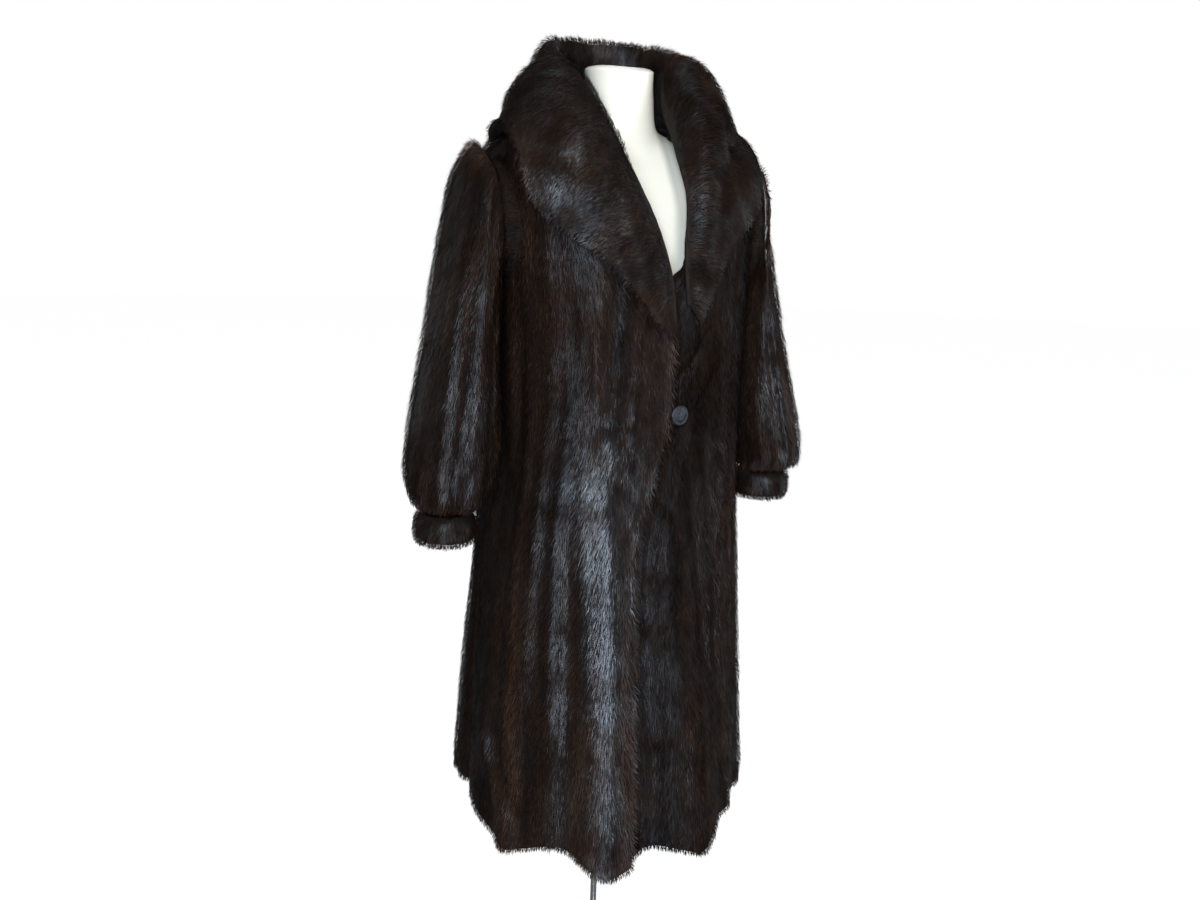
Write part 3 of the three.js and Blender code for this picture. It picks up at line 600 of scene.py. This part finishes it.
def place_verts(bm, function):
    """Moves a unit grid's points onto a surface and keeps their shares as the UV map."""
    bm.verts.ensure_lookup_table()
    shares = np.array([(v.co.x + 0.5, v.co.y + 0.5) for v in bm.verts])
    spots = function(shares[:, 0], shares[:, 1]) * MM + AXIS
    layer = bm.loops.layers.uv.new("shares")
    for face in bm.faces:
        for loop in face.loops:
            loop[layer].uv = shares[loop.vert.index]
    for vert, spot in zip(bm.verts, spots):
        vert.co = spot
    return shares


def cut_armholes(bm):
    """Opens the armholes: the ring of points next to the oval is drawn onto its edge."""
    def inside(co):
        y, z = (co.y - AXIS[1]) / MM, co.z / MM
        if abs(co.x - AXIS[0]) / MM < ARMHOLE["from_x"]:
            return 2.0
        return math.hypot(y / ARMHOLE["deep"], (z - ARMHOLE["z"]) / ARMHOLE["tall"])
    share = {v: inside(v.co) for v in bm.verts}
    edge = [v for v in bm.verts if share[v] < 1 and any(share[e.other_vert(v)] >= 1 for e in v.link_edges)]
    for v in edge:
        s = max(share[v], 0.2)
        v.co.y = AXIS[1] + (v.co.y - AXIS[1]) / s
        v.co.z = ARMHOLE["z"] * MM + (v.co.z - ARMHOLE["z"] * MM) / s
    kept = set(edge)
    gone = [v for v in bm.verts if share[v] < 1 and v not in kept]
    bmesh.ops.delete(bm, geom=gone, context="VERTS")


def skin(name, laid, columns, rows, pile, thick, holes=False):
    """A thin closed shell that the fur grows from: underwool outside, lining inside."""
    bm = bmesh.new()
    bmesh.ops.create_grid(bm, x_segments=columns, y_segments=rows, size=0.5)
    sunk = laid.moved(np.full(laid.spots.shape[:2], -pile))
    place_verts(bm, lambda u, v: sunk.read(u, v, sunk.spots)[0])
    if laid.tube:
        bmesh.ops.remove_doubles(bm, verts=bm.verts[:], dist=1e-6)
    if holes:
        cut_armholes(bm)
    bm.normal_update()
    bm.faces.ensure_lookup_table()
    middle = bm.faces[len(bm.faces) // 2]
    share = middle.loops[0][bm.loops.layers.uv.active].uv
    out = laid.read(np.array([share.x]), np.array([share.y]), laid.out)[0][0]
    if middle.normal.dot(Vector(out)) < 0:
        bmesh.ops.reverse_faces(bm, faces=bm.faces[:])
    mesh = bpy.data.meshes.new(name)
    bm.to_mesh(mesh)
    bm.free()
    mesh.polygons.foreach_set("use_smooth", [True] * len(mesh.polygons))
    thing = new_object(name, mesh, ground, lining)
    shell = thing.modifiers.new("thickness", "SOLIDIFY")
    shell.thickness = thick * MM
    shell.offset = -1
    shell.material_offset = 1
    shell.material_offset_rim = 0
    return thing


# ---- Fur ----

def cloudy(seed, x, y):
    """Soft random values from -1 to 1 over a plane, one hump to a unit."""
    field = np.random.default_rng(seed).uniform(-1, 1, (64, 64))
    xi, yi = np.floor(x).astype(int), np.floor(y).astype(int)
    fx, fy = x - xi, y - yi
    fx, fy = fx * fx * (3 - 2 * fx), fy * fy * (3 - 2 * fy)
    top = field[yi % 64, xi % 64] * (1 - fx) + field[yi % 64, (xi + 1) % 64] * fx
    low = field[(yi + 1) % 64, xi % 64] * (1 - fx) + field[(yi + 1) % 64, (xi + 1) % 64] * fx
    return top * (1 - fy) + low * fy


def scattered(laid, per_square_metre, rng, from_v=0.0, to_v=1.0, hem=0.0):
    """Even random places on a surface, as shares, with more of them just above a hem."""
    columns, rows = laid.spots.shape[0] - 1, laid.spots.shape[1] - 1
    low, high = int(from_v * rows), int(round(to_v * rows))
    p = laid.spots[:, low:high + 1] * MM
    area = np.linalg.norm(np.cross(p[1:, :-1] - p[:-1, :-1], p[:-1, 1:] - p[:-1, :-1]), axis=-1)
    at_hem = ease(0.984, 0.994, (np.arange(low, high) + 0.5) / rows)
    area = (area * (1 + hem * at_hem)).ravel()
    count = int(area.sum() * per_square_metre)
    running = np.cumsum(area) / area.sum()
    cell = np.searchsorted(running, (np.arange(count) + rng.uniform(0, 1, count)) / count)
    cell = np.minimum(cell, len(area) - 1)
    i, j = cell // (high - low), cell % (high - low) + low
    return (i + rng.uniform(0, 1, count)) / columns, (j + rng.uniform(0, 1, count)) / rows


def hairs(name, roots, out, flow, length, wide, root_tilt, tip_tilt, tone, shine, material, rng, roll=14.0):
    """Tapered hairs as one mesh: each a bent kite from its root to its tip."""
    count = len(roots)
    aside = unit(np.cross(out, flow))
    flow = unit(np.cross(aside, out))
    a0, a1 = np.radians(root_tilt)[:, None], np.radians(tip_tilt)[:, None]
    first = flow * np.cos(a0) + out * np.sin(a0)
    second = flow * np.cos(a1) + out * np.sin(a1)
    middle = roots + first * (0.5 * length)[:, None]
    tip = middle + second * (0.5 * length)[:, None]
    turn = np.radians(rng.normal(0, roll, count))[:, None]
    lean = unit(np.cross(first, aside))
    across = (aside * np.cos(turn) + lean * np.sin(turn)) * (wide / 2)[:, None]
    verts = np.stack([roots, middle - across, middle + across, tip], 1).reshape(-1, 3) * MM + AXIS
    base = np.arange(count)[:, None] * 4
    tris = np.concatenate([base + [0, 1, 2], base + [2, 1, 3]], 1).reshape(-1, 3)
    mesh = bpy.data.meshes.new(name)
    mesh.vertices.add(len(verts))
    mesh.vertices.foreach_set("co", verts.astype(np.float32).ravel())
    mesh.loops.add(len(tris) * 3)
    mesh.loops.foreach_set("vertex_index", tris.astype(np.int32).ravel())
    mesh.polygons.add(len(tris))
    mesh.polygons.foreach_set("loop_start", np.arange(0, len(tris) * 3, 3, dtype=np.int32))
    mesh.update(calc_edges=True)
    mesh.polygons.foreach_set("use_smooth", np.ones(len(tris), bool))
    face = unit(np.cross(across, second))
    face = face * np.sign(np.sum(face * out, -1, keepdims=True))
    sides = [out * 0.9 + face * 0.5, out * 0.7 + face * 0.7 - across / wide[:, None] * 0.5,
             out * 0.7 + face * 0.7 + across / wide[:, None] * 0.5, out * 0.5 + face * 0.9]
    mesh.normals_split_custom_set_from_vertices(np.stack([unit(n) for n in sides], 1).reshape(-1, 3))
    shade = mesh.attributes.new("tone", "FLOAT", "POINT")
    root_to_tip = np.array([0.6, 0.9, 0.9, 1.12])
    shade.data.foreach_set("value", np.clip(tone[:, None] * root_to_tip, 0, 1).astype(np.float32).ravel())
    gloss = mesh.attributes.new("shine", "FLOAT", "POINT")
    gloss.data.foreach_set("value", np.repeat(shine, 4).astype(np.float32))
    return new_object(name, mesh, material)


DENSITY = 158000


def grow(name, laid, seed, pile, tone_of, material, share=1.0, from_v=0.0, to_v=1.0, length=16.0, holes=False,
         flow_of=None, lift=1.0, loose=1.0, hem=0.0, bare=None, shine_of=lambda u, v, spot: 0.34,
         close=lambda u, v: 0.0):
    """Grows the fur of one piece, lying down its surface."""
    rng = np.random.default_rng(seed)
    u, v = scattered(laid, DENSITY * share, rng, from_v, to_v, hem)
    spot, out, around, down = laid.read(u, v, laid.spots, laid.out, laid.around, laid.down)
    if holes:
        reach = np.hypot(spot[:, 1] / (ARMHOLE["deep"] - 2), (spot[:, 2] - ARMHOLE["z"]) / (ARMHOLE["tall"] - 2))
        keep = (reach > 1) | (np.abs(spot[:, 0]) < ARMHOLE["from_x"])
        u, v, spot, out, around, down = (a[keep] for a in (u, v, spot, out, around, down))
    if bare is not None:
        keep = ~bare(u, v)
        u, v, spot, out, around, down = (a[keep] for a in (u, v, spot, out, around, down))
    out, around, down = unit(out), unit(around), unit(down)
    roots = spot - out * pile
    count = len(u)
    x, y, z = spot.T
    swirl = 0.13 * cloudy(seed + 1, (x + y) / 60, z / 110) + 0.09 * cloudy(seed + 2, (x - y) / 22, z / 45)
    swirl = loose * (swirl + rng.normal(0, 0.11, count))
    flow = down if flow_of is None else flow_of(around, down)
    flow = unit(flow + around * swirl[:, None])
    if not laid.tube:
        columns = laid.spots.shape[0]
        across = np.linalg.norm(np.diff(laid.spots, axis=0), axis=-1).sum(0)
        across = np.interp(v, np.linspace(0, 1, len(across)), across)
        side = 0.9 * np.exp(-(1 - u) * across / 5) - 0.9 * np.exp(-u * across / 5)
        flow = unit(flow + around * side[:, None])
    size = length * rng.normal(1, 0.13, count) * (1 + 0.08 * cloudy(seed + 3, x / 35, z / 60))
    if hem:
        size = size * (1 - 0.42 * ease(0.975, 0.995, v))
    size = size * (1 - close(u, v))
    wide = np.clip(rng.normal(0.97, 0.18, count), 0.5, 1.5)
    clump = cloudy(seed + 4, (x + 0.6 * y) / 10, z / 22)
    root_tilt = (34 + 7 * loose * clump + rng.normal(0, 5, count)) * lift
    tip_tilt = (10 + 7 * loose * clump + rng.normal(0, 6, count)) * lift
    stray = rng.uniform(0, 1, count) < 0.04
    root_tilt = np.where(stray, root_tilt + 12, root_tilt)
    tip_tilt = np.where(stray, tip_tilt + 22, tip_tilt)
    wide = np.where(stray, 0.5, wide)
    root_tilt, tip_tilt = root_tilt * (1 - close(u, v)), tip_tilt * (1 - close(u, v))
    tone = tone_of(u, v, spot, rng)
    tone = np.where(stray, tone * 0.8 + 0.05, tone)
    patches = 0.55 + 0.40 * cloudy(seed + 6, (x + y) / 15, z / 34) + 0.30 * cloudy(seed + 7, (x - y) / 5, z / 11)
    shine = np.clip(patches, 0.08, 1.2) * shine_of(u, v, spot)
    return hairs(name, roots, out, flow, size, wide, root_tilt, tip_tilt, tone, shine, material, rng)


def body_tone(u, v, spot, rng):
    """Dark centre lines and lighter sides of the strips, with soft patches. Painted shade and light: darker fold
    valleys and lighter fold ridges, a painted highlight on the right front's edge, a painted shadow beside the lap,
    and a lighter skirt side that is partly a browner pelt and partly painted light.
    """
    x, y, z = spot.T
    angle = np.degrees(np.arctan2(x, -y))
    ring = v * HEM_RING
    across, which = strip_place(angle, ring)
    own = np.random.default_rng(5).uniform(-0.07, 0.07, STRIPS)[which]
    edge = np.abs(2 * across - 1)
    # The skirt's wearer's-left side is lighter: partly a browner pelt, partly painted light on that lit side.
    tone = 0.28 + 0.20 * bell(turn_between(angle, 40), 22) * ease(4.7, 6.0, ring) + 0.6 * own + 0.08 * (edge ** 1.5 - 0.4)
    tone = tone + 0.13 * cloudy(11, angle / 9, z / 190) + 0.07 * cloudy(12, angle / 3, z / 50)
    tone = tone - 0.05 * bell(across - 0.5, 0.06)
    # Painted shade and light from the folds: the hair is darker in the valleys between the folds and lighter on their
    # ridges.
    height = sum(rise * bell(turn_between(angle, at), wide) * ease(start, HEM_RING, ring)
                 for at, wide, rise, start in FOLDS)
    tone = tone + 0.0055 * np.clip(height, -30, 22) - 0.02
    past_edge = (angle - right_edge(ring)) * 3.4
    low = ease(3.6, 4.4, ring)
    beside_lap = (past_edge > 0) * (1 - ease(75, 115, past_edge)) * low
    # Painted highlight: a lighter strip along the right front's rolled edge.
    tone = tone + 0.08 * bell(past_edge + 12, 10) * low
    # Beside the lap the left front is darker and mottled, with a painted shadow of the lapping edge close to it.
    tone = tone + beside_lap * (0.13 * cloudy(13, angle / 2.4, z / 24) - 0.11 - 0.16 * bell(past_edge - 5, 10))
    return np.clip(tone + rng.normal(0, 0.09, len(z)), 0.02, 1)


def body_shine(u, v, spot):
    """Full on the fold that faces the viewer, low on the left front beside the lap."""
    angle = np.degrees(np.arctan2(spot[:, 0], -spot[:, 1]))
    ring = v * HEM_RING
    past_edge = (angle - right_edge(ring)) * 3.4
    beside_lap = ease(-4, 6, past_edge) * (1 - ease(70, 110, past_edge)) * ease(3.6, 4.4, ring)
    fold = bell(turn_between(angle, -31), 12) * ease(4.5, 5.5, ring)
    skirt = ease(4.7, 6.0, ring)
    streak = near_line((angle + 16) * 3.4, spot[:, 2], 0, 1015, -12, 915, 9)
    right_side = bell(turn_between(angle, 44), 20) * skirt
    return 0.15 + 0.10 * skirt + 0.60 * fold - 0.13 * beside_lap + 0.35 * right_side + 0.5 * streak


def collar_shine(u, v, spot):
    return 0.27 + 0.25 * cloudy(35, u * 52, v * 7) + 0.4 * bell(np.hypot((u - 0.20) * 1400, (v - 0.80) * 170), 26)


def sleeve_tone(side):
    def tone_of(u, v, spot, rng):
        strip = u * 13
        edge = np.abs(2 * (strip - np.floor(strip)) - 1)
        # Painted shade: the right sleeve's hair is a shade darker than the left's.
        tone = 0.30 + 0.02 * side + 0.12 * (edge ** 1.5 - 0.4)
        tone = tone + 0.12 * cloudy(21 + side, u * 26, v * 6) + 0.06 * cloudy(23 + side, u * 60, v * 14)
        # Painted light: a lighter patch on top of each sleeve head, stronger on the right sleeve.
        top = bell(np.mod(u + 0.5, 1) - 0.5, 0.13) * bell(v - 0.22, 0.07)
        tone = tone + (0.40 if side < 0 else 0.28) * top
        # Painted highlight: a lighter band round the sleeve's gathered lower end.
        tone = tone + 0.20 * ease(0.86, 0.93, v) * (1 - ease(0.95, 0.99, v))
        return np.clip(tone + rng.normal(0, 0.09, len(u)), 0.02, 1)
    return tone_of


def collar_tone(u, v, spot, rng):
    tone = 0.25 + 0.16 * cloudy(31, u * 36, v * 3) + 0.08 * cloudy(32, u * 90, v * 8)
    # Painted shade: darker near the collar's seam at the back of the neck, inside its roll.
    tone = tone - 0.16 * (1 - ease(0.10, 0.34, v)) * bell(2 * u - 1, 0.3)
    return np.clip(tone + rng.normal(0, 0.09, len(u)), 0.02, 1)


# ---- The coat's pieces ----

def seam(side, gap):
    def angle(ring):
        reach = along(np.arange(HEM_RING + 1), BODY_RINGS[:, 0], ring)
        return side * SIDE_SEAM + np.degrees(gap / reach)
    return angle


def round_the_back(ring):
    return 360 + seam(-1, -0.15)(ring)


def above_hem(surface):
    """The skin ends a little above the hem, and the hair reaches down to it."""
    return lambda u, v: surface(u, v * 0.997)


back = panel(seam(1, 0.15), round_the_back)
right_front = panel(seam(-1, 0.15), right_edge, inset=(0, 3))
left_front = panel(left_edge, seam(1, -0.15), lapped=True, inset=(3, 0))

made = {}
for number, (name, surface, columns) in enumerate((("back", back, 84), ("right_front", right_front, 52),
                                                   ("left_front", left_front, 60))):
    laid = laid_out(above_hem(surface), columns * 4, 400)
    if name == "right_front":
        u, v = laid.shares()
        laid = laid.moved(4.5 * bell(1 - u, 0.035) * ease(3.6, 4.4, v * HEM_RING))
    made[name] = skin(name + "_skin", laid, columns, 104, BODY_PILE, BODY_SKIN, holes=True)
    cuts = (0.0, 0.58, 1.0) if name == "back" else (0.0, 1.0)
    for part, (low, high) in enumerate(zip(cuts[:-1], cuts[1:])):
        made[f"{name}_fur_{part + 1}"] = grow(f"{name}_fur_{part + 1}", laid, 100 + number * 10 + part, BODY_PILE,
                                              body_tone, fur_of_body, from_v=low, to_v=high, holes=True, hem=1.6,
                                              shine_of=body_shine)

for side, word in ((-1, "right"), (1, "left")):
    laid = laid_out(sleeve(side), 300, 300, side, True)
    made[word + "_sleeve"] = skin(word + "_sleeve_skin", laid, 72, 64, SLEEVE_PILE, SLEEVE_SKIN)
    made[word + "_sleeve_fur"] = grow(word + "_sleeve_fur", laid, 200 + side, SLEEVE_PILE, sleeve_tone(side),
                                      fur_of_body, from_v=0.012, to_v=0.985, hem=0.6,
                                      close=lambda u, v: 0.45 * (1 - ease(0.10, 0.28, v)),
                                      shine_of=lambda u, v, spot: 0.16 + 0.20 * ease(0.3, 0.7, v))


def down_the_cuff(around, down):
    return around * 0.3 - down * 0.9


for side, word in ((-1, "right"), (1, "left")):
    laid = laid_out(cuff(side, 5.0), 180, 60, -side, True)
    made[word + "_cuff"] = skin(word + "_cuff_skin", laid, 48, 24, 0.0, 2.0)
    made[word + "_cuff_fur"] = grow(word + "_cuff_fur", laid, 220 + side, 0.0, collar_tone, fur_of_collar,
                                    length=11, lift=1.3, share=2.0, flow_of=down_the_cuff, loose=2.2,
                                    shine_of=collar_shine)


def inside_lapel(u, v):
    """The inner side of the lapels' roll, next to the form, has no long hair."""
    return v < 0.08 + 0.20 * ease(0.26, 0.42, np.abs(2 * u - 1))


collar_middle = laid_out(collar, 280, 64, -1)
swell = collar_swell(*collar_middle.shares())
collar_top = collar_middle.moved(swell + COLLAR_SKIN / 2)
collar_under = Laid(collar_middle.moved(swell - COLLAR_SKIN / 2).spots, 1)
made["collar"] = skin("collar_skin", collar_top, 140, 28, 0.0, COLLAR_SKIN)
made["collar_fur"] = grow("collar_fur", collar_top, 301, 0.5, collar_tone, fur_of_collar, share=1.35, length=15,
                          from_v=0.08, loose=2.1, bare=inside_lapel,
                          close=lambda u, v: 0.05 + 0.40 * ease(0.80, 0.97, v), shine_of=collar_shine)
made["collar_under_fur"] = grow("collar_under_fur", collar_under, 311, 0.0, collar_tone, fur_of_collar,
                                share=0.8, length=12, from_v=0.5, lift=1.2, loose=1.8)


# ---- Dress form, stand and button ----

def form(u, v):
    angle, last = 360 * u, len(FORM_RINGS) - 1
    cap = 0.06
    ring = np.clip((v - cap) / (1 - 2 * cap), 0, 1) * last
    reach, z = ring_point(FORM_RINGS, angle, ring, 2.1)
    top, foot = np.clip(v / cap, 0, 1), np.clip((1 - v) / cap, 0, 1)
    round_top = np.sqrt(np.clip(1 - (1 - top) ** 6, 0, 1))
    round_foot = np.sqrt(np.clip(1 - (1 - foot) ** 6, 0, 1))
    middle = FORM_RINGS[0, 4]
    z = np.where(v < cap, middle + (z - middle) * top - 5 * top ** 8, z - 5 * (1 - ease(cap, cap + 0.012, v)))
    a = np.radians(angle)
    reach = reach * np.where(v < cap, top * 0.93 + 0.07 * round_top * top, 1) * round_foot * np.where(v > 1 - cap, foot, 1) ** 0.5
    return np.stack([reach * np.sin(a), -reach * np.cos(a), z], -1)


bm = bmesh.new()
bmesh.ops.create_grid(bm, x_segments=96, y_segments=110, size=0.5)
place_verts(bm, form)
bmesh.ops.remove_doubles(bm, verts=bm.verts[:], dist=1e-5)
bmesh.ops.recalc_face_normals(bm, faces=bm.faces[:])
mesh = bpy.data.meshes.new("form_shell")
bm.to_mesh(mesh)
bm.free()
mesh.polygons.foreach_set("use_smooth", [True] * len(mesh.polygons))
dress_form = new_object("form_shell", mesh, form_shell())


def turned(name, profile, steps, material, matrix):
    """A turned shape from its half profile, as radius and height in millimetres."""
    bm = bmesh.new()
    verts = [bm.verts.new((r * MM, 0, h * MM)) for r, h in profile]
    edges = [bm.edges.new(pair) for pair in zip(verts[:-1], verts[1:])]
    bmesh.ops.spin(bm, geom=verts + edges, cent=(0, 0, 0), axis=(0, 0, 1), angle=2 * math.pi, steps=steps,
                   use_merge=True)
    bmesh.ops.remove_doubles(bm, verts=bm.verts[:], dist=1e-6)
    bmesh.ops.recalc_face_normals(bm, faces=bm.faces[:])
    bmesh.ops.transform(bm, matrix=matrix, verts=bm.verts[:])
    mesh = bpy.data.meshes.new(name)
    bm.to_mesh(mesh)
    bm.free()
    mesh.polygons.foreach_set("use_smooth", [True] * len(mesh.polygons))
    return new_object(name, mesh, material)


steel = brushed_steel()
on_floor = Matrix.Translation(Vector(AXIS))
rod = turned("steel_rod", [(0, 30.3), (4.4, 30.3), (5, 31), (5, 789), (4.4, 789.7), (0, 789.7)], 32, steel, on_floor)
base = turned("steel_base", [
    (0, 0), (148.5, 0), (150, 1.2), (150, 4.2), (149.2, 5.8), (147, 7.4), (144, 8), (27, 8), (25.6, 8.6), (24.6, 10),
    (17, 28.2), (16, 29.6), (14.4, 30), (0, 30)], 96, steel, on_floor)

# A flat rim, a shallow dish and a low dome, on a shank
BUTTON_X, BUTTON_Z = 11, 1050
button_angle = math.asin(BUTTON_X / 177)
seat = plain_body(np.array([math.degrees(button_angle)]), np.array([5.0]))[0]
button_at = Matrix.Translation(Vector(AXIS + np.array([seat[0], seat[1] - 0.4, BUTTON_Z]) * MM))
button_at = button_at @ Matrix.Rotation(button_angle, 4, "Z") @ Matrix.Rotation(math.pi / 2, 4, "X")
button = turned("button_disc", [
    (0, -13.2), (3.4, -13.2), (4, -12.6), (4, 0), (12, 0.2), (14, 1.2), (15, 3), (14.8, 5.2), (13.8, 6.6), (12.6, 6.9),
    (11.6, 6.3), (10.9, 6.1), (9, 7.2), (6, 8.3), (3, 8.9), (0, 9)], 56, button_horn(), button_at)


# ---- What rides on what ----

REPLACED = {"back": ["back"], "right_front": ["right_front"], "left_front": ["left_front"], "collar": ["collar"],
            "right_sleeve": ["right_sleeve"], "left_sleeve": ["left_sleeve"], "right_cuff": ["right_cuff"],
            "left_cuff": ["left_cuff"]}
for name, nodes in REPLACED.items():
    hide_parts(*nodes)
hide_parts("dress_form")
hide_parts("stand_rod")
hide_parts("stand_base")
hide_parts("button")
for name, piece in made.items():
    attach(piece, "root")
for piece, slot in ((dress_form, "form_shell"), (rod, "steel"), (base, "steel"), (button, "button")):
    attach(piece, "root")

# ---- Camera, light and floor ----

def look_through(heading_from, distance, height, heading, pitch, roll, lens):
    camera = bpy.data.cameras.new("camera")
    camera.sensor_width = 36
    camera.lens = lens
    camera.clip_end = 60
    thing = bpy.data.objects.new("camera", camera)
    bpy.context.scene.collection.objects.link(thing)
    bpy.context.scene.camera = thing
    a, y = math.radians(heading_from), math.radians(heading)
    p, r = math.radians(pitch), math.radians(roll)
    place = Vector(AXIS) + Vector((math.sin(a) * distance, -math.cos(a) * distance, height))
    right = Vector((math.cos(y), math.sin(y), 0))
    ahead = Vector((-math.sin(y) * math.cos(p), math.cos(y) * math.cos(p), -math.sin(p)))
    up = right.cross(ahead)
    right, up = right * math.cos(r) + up * math.sin(r), up * math.cos(r) - right * math.sin(r)
    turn = Matrix((right, up, -ahead)).transposed()
    thing.matrix_world = Matrix.Translation(place) @ turn.to_4x4()


look_through(-31, 2.0, 1.372, -30.68, 11.5, 1.73, 39)


def softbox(name, place, target, size, power, colour):
    light = bpy.data.lights.new(name, "AREA")
    light.shape = "RECTANGLE"
    light.size, light.size_y = size
    light.energy = power
    light.color = colour
    thing = bpy.data.objects.new(name, light)
    bpy.context.scene.collection.objects.link(thing)
    thing.location = place
    thing.rotation_euler = (Vector(target) - Vector(place)).to_track_quat("-Z", "Y").to_euler()


softbox("key", (-2.1, -3.0, 1.75), (0, 0, 1.0), (0.75, 1.9), 185, (0.85, 0.92, 1.0))
softbox("high", (-0.6, -2.6, 3.4), (0, 0, 1.3), (0.9, 0.9), 85, (1.0, 0.97, 0.93))
softbox("side", (2.7, -0.9, 2.0), (0, 0, 1.0), (0.9, 1.8), 22, (0.86, 0.93, 1.0))
softbox("low_right", (1.9, -2.9, 0.7), (0, 0, 0.6), (0.6, 0.9), 34, (0.96, 0.97, 1.0))
softbox("left_side", (-3.0, 0.2, 1.9), (0, 0, 1.0), (0.8, 1.8), 4, (1.0, 0.96, 0.92))
softbox("top", (0.2, 0.5, 3.6), (0, 0, 1.2), (1.6, 1.6), 10, (0.93, 0.96, 1.0))
softbox("rear_left", (1.7, 3.0, 1.9), (0, 0, 1.0), (0.9, 1.8), 75, (0.88, 0.94, 1.0))
softbox("rear_right", (-2.2, 2.6, 2.0), (0, 0, 1.0), (0.9, 1.8), 14, (0.96, 0.97, 1.0))

# The room is white where it is seen, and dim where it only fills the shadows
world = bpy.data.worlds.new("soft_room")
world.use_nodes = True
links = world.node_tree.links
seen = world.node_tree.nodes["Background"]
seen.inputs["Color"].default_value = (1, 1, 1, 1)
seen.inputs["Strength"].default_value = 1.0
fill = world.node_tree.nodes.new("ShaderNodeBackground")
fill.inputs["Color"].default_value = (0.86, 0.93, 1.0, 1)
fill.inputs["Strength"].default_value = 0.05
path = world.node_tree.nodes.new("ShaderNodeLightPath")
mix = world.node_tree.nodes.new("ShaderNodeMixShader")
links.new(path.outputs["Is Camera Ray"], mix.inputs["Fac"])
links.new(fill.outputs["Background"], mix.inputs[1])
links.new(seen.outputs["Background"], mix.inputs[2])
links.new(mix.outputs["Shader"], world.node_tree.nodes["World Output"].inputs["Surface"])
bpy.context.scene.world = world

floor_white, tree, shader = new_material("pale_floor")
tree.links.new(ramp(tree, noise(tree, 2.0, 2), [(0.3, (0.16, 0.16, 0.16)), (0.7, (0.18, 0.18, 0.18))]),
               shader.inputs["Base Color"])
shader.inputs["Roughness"].default_value = 0.9
shader.inputs["Emission Color"].default_value = (1, 1, 1, 1)
spot = tree.nodes.new("ShaderNodeTexCoord")
shrink = tree.nodes.new("ShaderNodeMapping")
shrink.inputs["Scale"].default_value = (0.2, 0.2, 0.2)
round_spot = tree.nodes.new("ShaderNodeTexGradient")
round_spot.gradient_type = "SPHERICAL"
tree.links.new(spot.outputs["Object"], shrink.inputs["Vector"])
tree.links.new(shrink.outputs["Vector"], round_spot.inputs["Vector"])
glow = ramp(tree, round_spot.outputs["Fac"], [(0.35, (0.98, 0.98, 0.98)), (0.95, (0.88, 0.88, 0.88))])
floor_seen = tree.nodes.new("ShaderNodeLightPath")
only_seen = tree.nodes.new("ShaderNodeMath")
only_seen.operation = "MULTIPLY"
tree.links.new(glow, only_seen.inputs[0])
tree.links.new(floor_seen.outputs["Is Camera Ray"], only_seen.inputs[1])
tree.links.new(only_seen.outputs["Value"], shader.inputs["Emission Strength"])
bm = bmesh.new()
bmesh.ops.create_circle(bm, cap_ends=True, segments=96, radius=14)
bmesh.ops.transform(bm, matrix=Matrix.Translation((0, 0, -0.001)), verts=bm.verts[:])
mesh = bpy.data.meshes.new("floor")
bm.to_mesh(mesh)
bm.free()
floor = new_object("floor", mesh, floor_white)
bpy.context.scene.view_settings.view_transform = "Standard"
